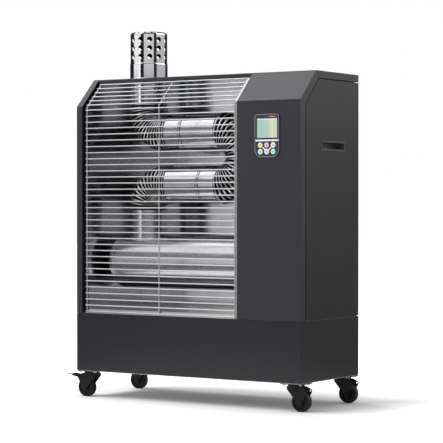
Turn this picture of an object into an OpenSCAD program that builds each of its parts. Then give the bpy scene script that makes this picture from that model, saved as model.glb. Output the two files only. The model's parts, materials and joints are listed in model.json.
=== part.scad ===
// Portable diesel infrared heater: a sheet-metal cabinet on casters, with a
// burner drum, a serpentine of flue pipes in front of a mirror, and a control
// panel. Front is -Y, right is +X, up is +Z, and the floor is at z = 0.

/* [Cabinet] */
// Width of the cabinet, side to side
cab_w = 690; // [660:5:760]
// Depth of the cabinet, front to rear
cab_d = 293; // [285:1:330]
// Height of the base box that holds the fuel tank
base_h = 153; // [145:1:200]
// Height of the upper cabinet, seam to roof
upper_h = 621.5; // [600:0.5:760]
// Run of the sloped edge along the top front
chamfer = 75; // [50:1:90]
// Thickness of the sheet-metal panels
sheet_t = 1.5; // [1:0.1:2]
// Width of the control bay, behind the closed front
bay_w = 185; // [178:1:215]

/* [Panel edges] */
// Width of the front flange that is folded onto the sides
side_band = 23; // [18:0.5:30]
// Height of the roof flange that is folded down
roof_band = 18.5; // [14:0.5:26]
// Width of the narrow post at the left of the grille
post_w = 18; // [14:0.5:24]
// Open groove around the inset side and rear panels
groove = 2.2; // [1.5:0.1:3]
// Depth of the folded edges inside the panels
fold_d = 14; // [12:0.5:20]
// Height of the roof's lip above the grille
roof_lip = 11; // [8:0.5:14]
// Air gap left under the upper panels at the seam
seam_gap = 0.5; // [0.4:0.1:1]

/* [Grips] */
// Length of a grip's frame
grip_l = 122; // [100:1:140]
// Height of a grip's frame
grip_h = 24; // [22:0.5:34]
// Depth of a grip's pocket
grip_depth = 24; // [18:0.5:24.5]
// Distance from the roof down to the middle of a grip
grip_drop = 186.5; // [120:0.5:260]
// Distance from the rear to the middle of a grip
grip_from_rear = 133.5; // [110:0.5:150]

/* [Wire grille] */
// Diameter of the level wires
wire_d = 3.2; // [2.5:0.1:4]
// Diameter of the upright wires
upright_d = 3.6; // [2.5:0.1:4.5]
// Spacing of the level wires
wire_pitch = 16.1; // [12:0.1:22]
// Depth of the level wires behind the front face
wire_setback = 4; // [3:0.1:6]
// Height of the lowest wire above the seam
first_wire = 5.6; // [5:0.1:9]

/* [Reflector] */
// Thickness of the mirror sheets
mirror_t = 1; // [0.8:0.1:1.5]
// Distance from the pipes' plane back to the mirror
mirror_gap = 112; // [100:1:118]
// Height of the mirror floor's front lip
mirror_lip = 9; // [4:0.5:14]

/* [Drum and pipes] */
// Diameter of the combustion drum
drum_d = 142; // [120:1:150]
// Clear height under the drum
drum_clear = 64.5; // [50:0.5:90]
// Distance from the left side to the drum's closed end
drum_inset = 55.5; // [40:0.5:72]
// Distance from the front to the plane of the pipes
pipe_setback = 134.5; // [131:0.5:138]
// Distance from the left side to the rising pipes
riser_inset = 139; // [130:1:160]
// Diameter of the neck on the drum
neck_d = 90; // [70:1:94]
// Height of the neck above the drum
neck_len = 65; // [50:1:75]
// Diameter of the flue pipes
pipe_d = 98; // [80:1:100]
// Wall of the drum, neck and pipes
pipe_wall = 1.5; // [1:0.1:2]
// Height of a rib on the corrugated bends
rib_h = 2.5; // [1.5:0.1:3]
// Bend radius of the lower elbow
low_bend_r = 56; // [53:0.5:60]
// Ribs on the lower elbow's quarter turn
low_ribs = 10; // [6:1:12]
// Bend radius of the upper elbow
top_bend_r = 64; // [56:0.5:68]
// Ribs on the upper elbow's quarter turn
top_ribs = 12; // [6:1:13]
// Bend radius of the return bend
return_r = 68.5; // [64:0.5:75]
// Ribs on each half of the return bend
return_ribs = 11; // [6:1:13]
// Straight ribbed length between the neck and the lower elbow
neck_run = 11; // [6:0.5:18]
// Distance from the rising pipes to the left end of the level pipes
pipe_start = 80; // [76:0.5:90]
// Free space between the return bend and the partition
return_clear = 8.5; // [3:0.5:30]

/* [Flue outlet] */
// Diameter of the collar on the roof, for a 100 mm duct
collar_d = 100; // [100:1:102]
// Height of the collar above the roof
collar_h = 41.5; // [30:0.5:60]
// Height of the perforated cap above the collar
cap_h = 83; // [76:1:100]
// Depth of the cap's spigot in the flue pipe
cap_spigot = 18; // [10:1:25]
// Diameter of the cap's side holes
cap_hole_d = 14; // [8:0.5:15]
// Rows of side holes
cap_rows = 3; // [1:1:3]
// Side holes in a row
cap_columns = 12; // [6:1:14]
// Spacing of the rows
cap_pitch = 22.5; // [18:0.5:24]

/* [Control panel] */
// Width of the display unit
unit_w = 71; // [70:1:90]
// Height of the display unit
unit_h = 107; // [104:1:130]
// Thickness of the unit's face, proud of the cover
unit_t = 3; // [2.5:0.1:4]
// Depth of the unit's body behind the cover
unit_depth = 12.5; // [11.5:0.5:20]
// Distance from the right side to the middle of the unit
unit_inset = 95.4; // [80:0.1:105]
// Drop from the slope's edge to the top of the unit
unit_drop = 34.5; // [20:0.5:80]
// Width of the display window
lcd_w = 59; // [50:0.5:60]
// Height of the display window
lcd_h = 48; // [40:0.5:50]
// Diameter of a push button
button_d = 14; // [10:0.5:14]
// Spacing of the buttons, sideways
button_px = 18.6; // [17:0.1:19]
// Spacing of the buttons, up and down
button_pz = 16; // [15.8:0.1:17]
// Travel of a button
button_travel = 1; // [0.6:0.1:1.2]

/* [Burner] */
// Diameter of the blast tube
blast_d = 76; // [60:1:80]
// Diameter of the blower housing
blower_d = 124; // [116:1:130]
// Width of the blower housing
blower_w = 80; // [70:1:90]
// Diameter of the fan wheel
fan_d = 100; // [80:1:106]
// Number of fan blades
fan_blades = 24; // [12:1:36]
// Diameter of the blower motor
motor_d = 70; // [60:1:78]
// Length of the blower motor
motor_len = 78; // [60:1:90]
// Diameter of the motor shaft
shaft_d = 8; // [6:0.5:10]
// Diameter of the fuel pump
pump_d = 34; // [30:1:38]
// Height of the fuel pump
pump_h = 48; // [44:1:60]

/* [Fuel system] */
// Free space between the tank and the base walls
tank_gap = 12; // [8:1:25]
// Clear height between the tank and the deck
tank_head = 30; // [24:1:45]
// Diameter of the filler neck
filler_d = 44; // [36:1:46]
// Height of the filler neck above its seat
filler_rise = 12; // [10:0.5:16]
// Distance from the right side to the middle of the filler
filler_inset = 150; // [140:1:170]
// Depth of the pocket around the filler
pocket_deep = 68; // [64:1:72]
// Diameter of the fuel pipe
line_d = 6; // [5:0.5:8]

/* [Casters] */
// Diameter of a caster wheel
wheel_d = 50; // [44:1:52]
// Width of a caster wheel
wheel_w = 18; // [14:0.5:22]
// Height of the cabinet's underside
caster_h = 70; // [70:1:80]
// Distance from a wheel's axle to its swivel axis
trail = 16; // [12:0.5:18]
// Distance from the side to a swivel axis
caster_x = 29; // [29:0.5:45]
// Distance from the front or rear to a swivel axis
caster_y = 28.5; // [28.5:0.5:45]
// Reach of a brake lever from the swivel axis
brake_reach = 82; // [72:1:90]
// Diameter of a kingpin and of a wheel's axle
caster_pin_d = 8; // [6:0.5:9]

/* [Hidden] */
$fn = 48;

// Ratio of the shift of a bevelled corner to the wall's shift, for 45 degrees
bevel_k = tan(22.5);
// How far a cut runs past the face that it opens
eps = 1;
// Gap of a part that slides in or turns on another
run_gap = 0.05;
// Gap of a part that sits in a hole of another
fit_gap = 0.4;
// Gap between sheets that lie on each other
lap_gap = 0.2;

side_x = cab_w / 2;
front_y = -cab_d / 2;
rear_y = cab_d / 2;
base_z = caster_h;
seam_z = base_z + base_h;
roof_z = seam_z + upper_h;
slope_z = roof_z - chamfer;
slope_y = front_y + chamfer;
deck_z = seam_z + sheet_t;
bay_x = side_x - bay_w;
post_x = -side_x + post_w;

pipe_y = front_y + pipe_setback;
riser_x = -side_x + riser_inset;
drum_r = drum_d / 2;
pipe_r = pipe_d / 2;
rib_r = pipe_r + rib_h;
drum_z = deck_z + drum_clear + drum_r;
drum_left = -side_x + drum_inset;
drum_right = bay_x + 30;
neck_top = drum_z + drum_r + neck_len;
middle_z = neck_top + neck_run + low_bend_r;
upper_z = middle_z + 2 * return_r;
low_run = pipe_start - low_bend_r;
top_run = pipe_start - top_bend_r;
pipe_left = riser_x + pipe_start;
pipe_right = bay_x - sheet_t - return_clear - rib_r - return_r;
elbow_top = upper_z + pipe_start;
collar_top = roof_z + collar_h;

mirror_y = pipe_y + mirror_gap;
mirror_left = -side_x + 33;
mirror_right = bay_x - sheet_t - lap_gap;
mirror_z = deck_z + mirror_t;
mirror_top = roof_z - 13;
wing_front_x = -side_x + 23;
wing_front_y = front_y + 21;
wing_step = 0.3;
pipe_slip = 0.3;
collar_neck_r = collar_d / 2 - 0.5;

unit_x = side_x - unit_inset;
unit_top = slope_z - unit_drop;
unit_z = unit_top - unit_h / 2;
face_y = front_y - unit_t;
unit_corner_top = 8;
unit_corner_low = 20;
button_proud = 1.5;
lcd_top = unit_top - 11;
button_row_1 = lcd_top - lcd_h - 18;

caster_side = side_x - caster_x;
caster_fore = rear_y - caster_y;
wheel_r = wheel_d / 2;
screw_head = 1.8;
inlet_flange = 2;
frame_x = (brake_reach - trail - wheel_r) / 2;
frame_y = (unit_t + button_proud - inlet_flange) / 2;

paint = [0.25, 0.25, 0.26];
dark_paint = [0.2, 0.2, 0.21];
bright = [0.84, 0.85, 0.86];
mirror_tint = [0.72, 0.73, 0.75];
steel = [0.6, 0.61, 0.62];
black_plastic = [0.09, 0.09, 0.1];
galvanised = [0.55, 0.57, 0.58];
dark_rubber = [0.14, 0.14, 0.15];

// Puts a node, drawn about the middle of the cabinet, where the origin is
// under the middle of everything that the heater reaches
module in_frame() {
    translate([frame_x, frame_y, 0]) children();
}

// Draws an outline of (y, z) points as a plate from x0 to x1
module along_x(x0, x1) {
    translate([x0, 0, 0]) rotate([90, 0, 90]) linear_extrude(x1 - x0) children();
}

// Draws an outline of (x, z) points as a plate from y0 to y1
module along_y(y0, y1) {
    translate([0, y1, 0]) rotate([90, 0, 0]) linear_extrude(y1 - y0) children();
}

module box(x0, x1, y0, y1, z0, z1) {
    translate([x0, y0, z0]) cube([x1 - x0, y1 - y0, z1 - z0]);
}

module rod_x(x0, x1, y, z, r) {
    translate([x0, y, z]) rotate([0, 90, 0]) cylinder(h = x1 - x0, r = r);
}

module rod_y(x, y0, y1, z, r) {
    translate([x, y1, z]) rotate([90, 0, 0]) cylinder(h = y1 - y0, r = r);
}

module rod_z(x, y, z0, z1, r) {
    translate([x, y, z0]) cylinder(h = z1 - z0, r = r);
}

// Side view of the upper cabinet, as (y, z) points, drawn in from each edge
function side_outline(front, top, rear, bottom) =
    let (
        y0 = front_y + front,
        z1 = slope_z - front * bevel_k,
        z2 = roof_z - top,
        y1 = y0 + z2 - z1
    )
    [[y0, seam_z + bottom], [y0, z1], [y1, z2],
     [rear_y - rear, z2], [rear_y - rear, seam_z + bottom]];

// Band of the front and the slope, from one depth to another, up to a height
function front_band(outer, inner, z_low, z_high) =
    let (
        ya = front_y + outer,
        za = slope_z - outer * bevel_k,
        yb = front_y + inner,
        zb = slope_z - inner * bevel_k
    )
    [[ya, z_low], [ya, za], [ya + z_high - za, z_high],
     [yb + z_high - zb, z_high], [yb, zb], [yb, z_low]];

// Points of an arc, in even steps
function arc(cx, cy, r, a0, a1, steps) =
    [for (i = [0:steps]) let (a = a0 + (a1 - a0) * i / steps) [cx + r * cos(a), cy + r * sin(a)]];

// Outline of the display unit, drawn in by a margin; its lower corners are
// rounder than its upper ones
function unit_outline(margin) =
    let (
        hw = unit_w / 2 - margin,
        hh = unit_h / 2 - margin,
        r_top = max(unit_corner_top - margin, 1),
        r_low = max(unit_corner_low - margin, 2)
    )
    concat(
        arc(unit_x + hw - r_top, unit_z + hh - r_top, r_top, 0, 90, 5),
        arc(unit_x - hw + r_top, unit_z + hh - r_top, r_top, 90, 180, 5),
        arc(unit_x - hw + r_low, unit_z - hh + r_low, r_low, 180, 270, 8),
        arc(unit_x + hw - r_low, unit_z - hh + r_low, r_low, 270, 360, 8)
    );

// Base box: four walls with a folded top edge, and a pocket for the filler
pocket_w = filler_d + 46;
pocket_x = side_x - filler_inset;
pocket_top = seam_z - 9;
pocket_low = base_z + 44;
filler_y = rear_y - pocket_deep * 0.62;
neck_reach = pocket_deep * 0.95;
filler_z = pocket_low + (rear_y - filler_y);
filler_r = filler_d / 2;
cap_r = filler_r + 5;
cap_t = 13;
cap_skirt = 4;
neck_bore_r = filler_r - 1.5;
neck_flange_t = 2;

// Side view of the pocket, as (y, z) points: a slanted seat and a level top
function pocket_outline(margin) = [
    [rear_y + margin, pocket_low - margin - margin * bevel_k],
    [rear_y - pocket_deep - margin, pocket_low + pocket_deep - margin * bevel_k],
    [rear_y - pocket_deep - margin, pocket_top + margin],
    [rear_y + margin, pocket_top + margin]
];

// Turns a filler part, drawn upwards, to its seat square to the slanted plate
module on_filler_axis() {
    translate([pocket_x, filler_y, filler_z]) rotate([-45, 0, 0]) children();
}

module base_box() {
    in_frame() color(dark_paint) difference() {
        union() {
            difference() {
                box(-side_x, side_x, front_y, rear_y, base_z + sheet_t + seam_gap, seam_z);
                box(-side_x + sheet_t, side_x - sheet_t, front_y + sheet_t, rear_y - sheet_t,
                    base_z, seam_z - sheet_t);
                box(-side_x + fold_d, side_x - fold_d, front_y + fold_d, rear_y - fold_d,
                    seam_z - sheet_t - eps, seam_z + eps);
            }
            intersection() {
                along_x(pocket_x - pocket_w / 2 - sheet_t, pocket_x + pocket_w / 2 + sheet_t)
                    polygon(pocket_outline(sheet_t));
                box(-side_x, side_x, front_y, rear_y, base_z, seam_z);
            }
        }
        along_x(pocket_x - pocket_w / 2, pocket_x + pocket_w / 2) polygon([
            [rear_y + eps, pocket_low - eps],
            [rear_y - pocket_deep, pocket_low + pocket_deep],
            [rear_y - pocket_deep, pocket_top],
            [rear_y + eps, pocket_top]
        ]);
        on_filler_axis() rod_z(0, 0, -15, 15, filler_r + fit_gap);
    }
}

// Base pan: bottom plate with a low rim inside the base box
pan_step = 1;
rim_out = sheet_t + lap_gap;
rim_in = rim_out + sheet_t;

module base_pan() {
    in_frame() color(galvanised) difference() {
        union() {
            box(-side_x + pan_step, side_x - pan_step, front_y + pan_step, rear_y - pan_step,
                base_z, base_z + sheet_t);
            box(-side_x + rim_out, side_x - rim_out, front_y + rim_out, rear_y - rim_out,
                base_z, base_z + fold_d);
        }
        box(-side_x + rim_in, side_x - rim_in, front_y + rim_in, rear_y - rim_in,
            base_z + sheet_t, base_z + fold_d + eps);
        caster_bolt_holes();
    }
}

deck_step = 2 * sheet_t;

module base_deck() {
    in_frame() color(galvanised) difference() {
        box(-side_x + deck_step, side_x - deck_step, front_y + deck_step, rear_y - deck_step,
            seam_z, deck_z);
        rod_z(pump_x, pump_y, seam_z - eps, deck_z + eps, line_d / 2 + 3);
    }
}

// Upper cabinet: the covers stand on the deck and end under the roof's fold
cover_low = seam_z + seam_gap;
cover_high = roof_z - sheet_t - lap_gap;

module control_cover() {
    in_frame() color(paint) difference() {
        union() {
            along_x(bay_x, side_x)
                polygon(front_band(0, sheet_t, cover_low, cover_high));
            along_x(side_x - sheet_t, side_x)
                polygon(cover_side_band());
            along_x(bay_x, bay_x + sheet_t)
                polygon(front_band(0, fold_d, deck_z, cover_high));
            along_x(side_x - fold_d, side_x) polygon(cover_return_fold());
        }
        along_y(front_y - eps, front_y + sheet_t + eps)
            polygon(unit_outline(unit_lip - fit_gap));
    }
}

// Flange of the cover on the side, mitred where it meets the roof's flange
function cover_side_band() = [
    [front_y, cover_low],
    [front_y, slope_z],
    [slope_y - sheet_t - lap_gap, cover_high],
    [slope_y + mitre_shift - 2 * lap_gap, roof_z - roof_band],
    [front_y + side_band, slope_z - side_band * bevel_k],
    [front_y + side_band, cover_low]
];

// Inward fold at the end of that flange, beside the groove; it stands on the deck
function cover_return_fold() = [
    [front_y + side_band - sheet_t, deck_z],
    [front_y + side_band - sheet_t, slope_z - (side_band - sheet_t) * bevel_k],
    [slope_y + mitre_shift - 2 * lap_gap - sheet_t / cos(45), roof_z - roof_band],
    [slope_y + mitre_shift - 2 * lap_gap, roof_z - roof_band],
    [front_y + side_band, slope_z - side_band * bevel_k],
    [front_y + side_band, deck_z]
];

// Where the inner edge of the side band meets the lower edge of the roof band
mitre_shift = side_band * (1 + bevel_k) - roof_band;

module left_front_post() {
    in_frame() color(paint) {
        along_x(-side_x, post_x)
            polygon(front_band(0, sheet_t, cover_low, cover_high));
        along_x(-side_x, -side_x + sheet_t)
            polygon(cover_side_band());
        along_x(-side_x, -side_x + fold_d) polygon(cover_return_fold());
    }
}

// Inset side panel: a tray with folded edges and a slot for its grip
panel_front = side_band + groove;
panel_top = roof_band + groove;
grip_y = rear_y - grip_from_rear;
grip_z = roof_z - grip_drop;
grip_rim = 3.5;
grip_face_t = 1;
grip_wall = 1.2;
slot_l = grip_l / 2 - grip_rim + 1.5;
slot_h = grip_h / 2 - grip_rim + 1.5;

module side_panel_right() {
    difference() {
        along_x(side_x - fold_d, side_x)
            polygon(side_outline(panel_front, panel_top, sheet_t, groove));
        along_x(side_x - fold_d - eps, side_x - sheet_t)
            polygon(side_outline(panel_front + sheet_t, panel_top + sheet_t, 2 * sheet_t,
                groove + sheet_t));
        box(side_x - fold_d, side_x + eps, grip_y - slot_l, grip_y + slot_l,
            grip_z - slot_h, grip_z + slot_h);
        for (z = screw_heights)
            rod_y(side_x - fold_d / 2, rear_y - screw_l - 2, rear_y + eps, z, screw_r + lap_gap);
    }
}

module right_side_panel() {
    in_frame() color(dark_paint) side_panel_right();
}

module left_side_panel() {
    in_frame() color(dark_paint) mirror([1, 0, 0]) side_panel_right();
}

// Roof: plate, three folded flanges, and a low lip above the grille
module roof_panel() {
    in_frame() color(paint) difference() {
        union() {
            along_x(-side_x, side_x) polygon([
                [slope_y - sheet_t, roof_z - sheet_t], [slope_y, roof_z],
                [rear_y, roof_z], [rear_y, roof_z - sheet_t]
            ]);
            for (x = [-side_x, side_x - sheet_t])
                along_x(x, x + sheet_t) polygon([
                    [slope_y, roof_z - sheet_t], [slope_y + mitre_shift, roof_z - roof_band],
                    [rear_y, roof_z - roof_band], [rear_y, roof_z], [slope_y, roof_z]
                ]);
            box(-side_x, side_x, rear_y - sheet_t, rear_y, roof_z - roof_band, roof_z);
            along_x(post_x + 1, bay_x - sheet_t - 1) polygon([
                [slope_y - sheet_t, roof_z - roof_lip], [slope_y - sheet_t, roof_z - sheet_t],
                [slope_y, roof_z], [slope_y, roof_z - roof_lip]
            ]);
        }
        rod_z(riser_x, pipe_y, roof_z - sheet_t - eps, roof_z + eps, collar_neck_r + lap_gap);
    }
}

// Rear panel with slots for cooling and combustion air
vent_l = 130;
vent_h = 5;
vent_rows = 9;
vent_pitch = 13;
vent_upper = roof_z - 90;
vent_lower = seam_z + 160;
vent_left = -side_x / 2 - 30;
vent_right = side_x / 2 + 10;
vent_groups = [
    [vent_left, vent_upper], [0, vent_upper], [vent_right, vent_upper],
    [vent_left, vent_lower], [0, vent_lower]
];

module rear_panel() {
    in_frame() color(dark_paint) difference() {
        box(-side_x, side_x, rear_y - sheet_t, rear_y, seam_z + groove,
            roof_z - roof_band - groove);
        for (g = vent_groups)
            for (i = [0:vent_rows - 1])
                box(g[0] - vent_l / 2, g[0] + vent_l / 2, rear_y - sheet_t - eps, rear_y + eps,
                    g[1] - i * vent_pitch - vent_h, g[1] - i * vent_pitch);
        for (s = [-1, 1])
            for (z = screw_heights)
                rod_y(s * (side_x - fold_d / 2), rear_y - sheet_t - eps, rear_y + eps, z,
                    screw_r + lap_gap);
        box(inlet_x - inlet_w / 2 - fit_gap, inlet_x + inlet_w / 2 + fit_gap,
            rear_y - sheet_t - eps, rear_y + eps, inlet_z - inlet_h / 2 - fit_gap,
            inlet_z + inlet_h / 2 + fit_gap);
    }
}

// Partition between the heating chamber and the control bay, with a flange
// that shows as a pale strip beside the grille
partition_lap = sheet_t + lap_gap;
partition_flange = 7;

module partition_wall() {
    in_frame() color(galvanised) difference() {
        union() {
            along_x(bay_x - sheet_t, bay_x)
                polygon(side_outline(partition_lap, partition_lap, partition_lap, sheet_t));
            along_x(bay_x - partition_flange, bay_x)
                polygon(front_band(partition_lap, partition_lap + sheet_t, deck_z,
                    roof_z - roof_lip - 2));
        }
        rod_x(bay_x - partition_flange - eps, bay_x + eps, pipe_y, drum_z, drum_r + fit_gap);
    }
}

// Grip cups, left and right
module grip_cup_right() {
    cup_l = slot_l - 0.5;
    cup_h = slot_h - 0.5;
    difference() {
        union() {
            box(side_x, side_x + grip_face_t, grip_y - grip_l / 2, grip_y + grip_l / 2,
                grip_z - grip_h / 2, grip_z + grip_h / 2);
            box(side_x - grip_depth, side_x, grip_y - cup_l, grip_y + cup_l,
                grip_z - cup_h, grip_z + cup_h);
        }
        box(side_x - grip_depth + grip_wall, side_x + grip_face_t + eps,
            grip_y - cup_l + grip_wall, grip_y + cup_l - grip_wall,
            grip_z - cup_h + grip_wall, grip_z + cup_h - grip_wall);
    }
}

module grip_cups() {
    in_frame() color(black_plastic) {
        grip_cup_right();
        mirror([1, 0, 0]) grip_cup_right();
    }
}

// Screws that hold the rear panel to the folds of the side panels
screw_r = 2;
screw_l = 8;
screw_heights = [for (i = [0:3]) seam_z + 35 + i * (upper_h - roof_band - 70) / 3];

module panel_screws() {
    in_frame() color(steel)
        for (s = [-1, 1])
            for (z = screw_heights) {
                rod_y(s * (side_x - fold_d / 2), rear_y, rear_y + screw_head, z, screw_r * 2.2);
                rod_y(s * (side_x - fold_d / 2), rear_y - screw_l, rear_y, z, screw_r);
            }
}

// Wire grille: level wires in front of three uprights that follow the slope
wire_weld = 0.3;
upright_inset = wire_setback + (wire_d + upright_d) / 2 - wire_weld;
wire_left = -side_x + 27;
wire_right = bay_x - 7.8;
upright_xs = [wire_left + 2, (wire_left + wire_right) / 2, wire_right - 3];
wire_bend_z = slope_z - wire_setback * bevel_k;
wire_y = front_y + wire_setback;
wire_rows = floor((wire_bend_z - seam_z - first_wire) / wire_pitch);
slope_first = wire_pitch - (wire_bend_z - seam_z - first_wire - wire_rows * wire_pitch);
slope_rows = floor((chamfer / cos(45) - 12 - slope_first) / wire_pitch);
upright_bend_z = slope_z - upright_inset * bevel_k;
upright_y = front_y + upright_inset;
upright_rise = slope_y - sheet_t - upright_y - upright_d / 2 - 0.4;

module wire_grille() {
    in_frame() color(bright) {
        for (i = [0:wire_rows])
            rod_x(wire_left, wire_right, wire_y, seam_z + first_wire + i * wire_pitch, wire_d / 2);
        for (i = [0:slope_rows])
            let (s = (slope_first + i * wire_pitch) * cos(45))
                rod_x(wire_left, wire_right, wire_y + s, wire_bend_z + s, wire_d / 2);
        for (x = upright_xs) {
            rod_z(x, upright_y, mirror_z, upright_bend_z, upright_d / 2);
            translate([x, upright_y, upright_bend_z]) rotate([-45, 0, 0])
                cylinder(h = upright_rise / cos(45), r = upright_d / 2);
            translate([x, upright_y, upright_bend_z]) sphere(r = upright_d / 2 + 0.15);
        }
    }
}

// Mirror sheets around the pipes
module reflector_back() {
    in_frame() color(mirror_tint)
        box(mirror_left, mirror_right, mirror_y, mirror_y + mirror_t, mirror_z, mirror_top);
}

module reflector_left() {
    in_frame() color(mirror_tint) intersection() {
        translate([0, 0, mirror_z]) linear_extrude(mirror_top - mirror_z) polygon([
            [mirror_left - wing_step, mirror_y + mirror_t],
            [wing_front_x, wing_front_y],
            [wing_front_x - mirror_t, wing_front_y],
            [mirror_left - wing_step - mirror_t, mirror_y + mirror_t]
        ]);
        along_x(-side_x, side_x) polygon(side_outline(14, 8, 8, 0));
    }
}

module reflector_top() {
    low = mirror_top + lap_gap;
    in_frame() color(mirror_tint) difference() {
        box(-side_x + 7, mirror_right, slope_y + 6, mirror_y + mirror_t, low, low + mirror_t);
        rod_z(riser_x, pipe_y, low - eps, low + mirror_t + eps, pipe_r + 1.5);
    }
}

module reflector_floor() {
    lip_y = upright_y + upright_d;
    in_frame() color(mirror_tint) {
        box(wing_front_x, mirror_right, lip_y, mirror_y + mirror_t, deck_z, mirror_z);
        box(wing_front_x, mirror_right, lip_y, lip_y + mirror_t, mirror_z, mirror_z + mirror_lip);
    }
}

// Combustion drum: a dished end on the left and a flange in the control bay
drum_dish = 8;
flange_r = drum_r + 11;
flange_t = 3;
flange_hole_r = 2.5;
flange_circle = drum_r + 6;

// Half outline of the drum, drawn in by a margin and run on past its open end
function drum_profile(inset, run_on) = concat(
    [[0, drum_left + inset]],
    arc(drum_r - drum_dish, drum_left + drum_dish, drum_dish - inset, -90, 0, 6),
    [[drum_r - inset, drum_right + run_on], [0, drum_right + run_on]]
);

module flange_holes() {
    for (a = [45:90:315])
        rod_x(drum_right - 2 * flange_t, drum_right + 2 * flange_t,
            pipe_y + flange_circle * cos(a), drum_z + flange_circle * sin(a), flange_hole_r);
}

module combustion_drum() {
    in_frame() color(bright) difference() {
        union() {
            translate([0, pipe_y, drum_z]) rotate([0, 90, 0])
                rotate_extrude() polygon(drum_profile(0, 0));
            rod_x(drum_right - flange_t, drum_right, pipe_y, drum_z, flange_r);
        }
        translate([0, pipe_y, drum_z]) rotate([0, 90, 0])
            rotate_extrude() polygon(drum_profile(pipe_wall, eps));
        rod_z(riser_x, pipe_y, drum_z, drum_z + drum_r + eps, neck_d / 2 - pipe_wall);
        flange_holes();
    }
}

// Neck: a stub cut to the drum's curve, with a flange under the elbow
module drum_neck() {
    in_frame() color(bright) difference() {
        union() {
            rod_z(riser_x, pipe_y, drum_z + drum_r / 2, neck_top, neck_d / 2);
            rod_z(riser_x, pipe_y, neck_top - flange_t, neck_top, pipe_r);
        }
        rod_z(riser_x, pipe_y, drum_z, neck_top + eps, neck_d / 2 - pipe_wall);
        rod_x(drum_left, drum_right, pipe_y, drum_z, drum_r + run_gap);
    }
}

// Corrugated quarter bend, drawn from the +X axis towards +Y around the origin
module ribbed_bend(bend_r, ribs) {
    step = 90 / ribs;
    difference() {
        union() {
            rotate_extrude(angle = 90) translate([bend_r, 0]) circle(r = pipe_r);
            for (i = [0:ribs - 1])
                rotate([0, 0, (i + 0.25) * step])
                    rotate_extrude(angle = step / 2) translate([bend_r, 0]) circle(r = rib_r);
        }
        rotate([0, 0, -2]) rotate_extrude(angle = 94)
            translate([bend_r, 0]) circle(r = pipe_r - pipe_wall);
    }
}

// Ribbed cuff on a bend's end, drawn upwards from the origin, a little
// thicker than the bend's own wall
cuff_step = 0.3;
cuff_pitch = 8;

module ribbed_straight(run) {
    ribs = max(1, floor(run / cuff_pitch));
    step = run / ribs;
    difference() {
        union() {
            cylinder(h = run, r = pipe_r + cuff_step);
            for (i = [0:ribs - 1])
                translate([0, 0, (i + 0.25) * step]) cylinder(h = step / 2, r = rib_r);
        }
        translate([0, 0, -eps])
            cylinder(h = run + 2 * eps, r = pipe_r - pipe_wall - cuff_step);
    }
}

module lower_elbow() {
    bend_x = riser_x + low_bend_r;
    in_frame() color(bright) {
        translate([riser_x, pipe_y, neck_top]) ribbed_straight(neck_run);
        translate([bend_x, pipe_y, neck_top + neck_run]) rotate([90, 0, 0])
            rotate([0, 0, 90]) ribbed_bend(low_bend_r, low_ribs);
        translate([bend_x, pipe_y, middle_z]) rotate([0, 90, 0]) ribbed_straight(low_run);
    }
}

module upper_elbow() {
    bend_x = riser_x + top_bend_r;
    bend_z = upper_z + top_bend_r;
    in_frame() color(bright) {
        translate([riser_x, pipe_y, bend_z]) ribbed_straight(top_run);
        translate([bend_x, pipe_y, bend_z]) rotate([90, 0, 0])
            rotate([0, 0, 180]) ribbed_bend(top_bend_r, top_ribs);
        translate([bend_x, pipe_y, upper_z]) rotate([0, 90, 0]) ribbed_straight(top_run);
    }
}

module return_bend() {
    in_frame() color(bright)
        for (a = [-90, 0])
            translate([pipe_right, pipe_y, middle_z + return_r]) rotate([90, 0, 0])
                rotate([0, 0, a]) ribbed_bend(return_r, return_ribs);
}

// Plain pipe between two bends, with a lap bead
bead_w = 3.5;
bead_h = 1.2;
middle_bead = 49.5;
upper_bead = 50;

module plain_pipe(z, bead_x) {
    difference() {
        union() {
            rod_x(pipe_left, pipe_right, pipe_y, z, pipe_r);
            rod_x(bead_x - bead_w / 2, bead_x + bead_w / 2, pipe_y, z, pipe_r + bead_h);
        }
        rod_x(pipe_left - eps, pipe_right + eps, pipe_y, z, pipe_r - pipe_wall);
    }
}

module middle_pipe() {
    in_frame() color(bright) plain_pipe(middle_z, pipe_right - middle_bead);
}

module upper_pipe() {
    in_frame() color(bright) plain_pipe(upper_z, pipe_left + upper_bead);
}

// Flue pipe through the roof, and the collar that an outer duct slips over,
// down to its foot on the roof
module flue_pipe() {
    in_frame() color(bright) difference() {
        rod_z(riser_x, pipe_y, elbow_top, collar_top, pipe_r - pipe_slip);
        rod_z(riser_x, pipe_y, elbow_top - eps, collar_top + eps, pipe_r - pipe_wall);
    }
}

module flue_collar() {
    ring_top = roof_z - sheet_t - lap_gap;
    ring_t = 3;
    foot_t = 1.5;
    lip_r = collar_d / 2 + 4;
    in_frame() color(bright) difference() {
        union() {
            rod_z(riser_x, pipe_y, roof_z, collar_top, collar_d / 2);
            rod_z(riser_x, pipe_y, roof_z, roof_z + foot_t, lip_r);
            rod_z(riser_x, pipe_y, ring_top - eps, roof_z + eps, collar_neck_r);
            rod_z(riser_x, pipe_y, ring_top - ring_t, ring_top, lip_r);
        }
        rod_z(riser_x, pipe_y, ring_top - ring_t - eps, collar_top + eps,
            pipe_r - pipe_slip + run_gap);
    }
}

// Perforated cap: side holes, a rounded shoulder with small holes, a spigot
cap_r_out = pipe_r;
cap_wall = 1.2;
cap_shoulder = 7;
cap_phase = 8;
cap_top = collar_top + cap_h;
cap_first_row = 17;
small_holes = 16;
small_hole_r = 2.4;
spigot_r = pipe_r - pipe_wall - pipe_slip;

// Half outlines of the cap's outside and of its bore, which is narrow in the
// spigot and wide above it
function cap_outer() = concat(
    [[0, collar_top], [cap_r_out, collar_top]],
    arc(cap_r_out - cap_shoulder, cap_top - cap_shoulder, cap_shoulder, 0, 90, 5),
    [[0, cap_top]]
);

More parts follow.
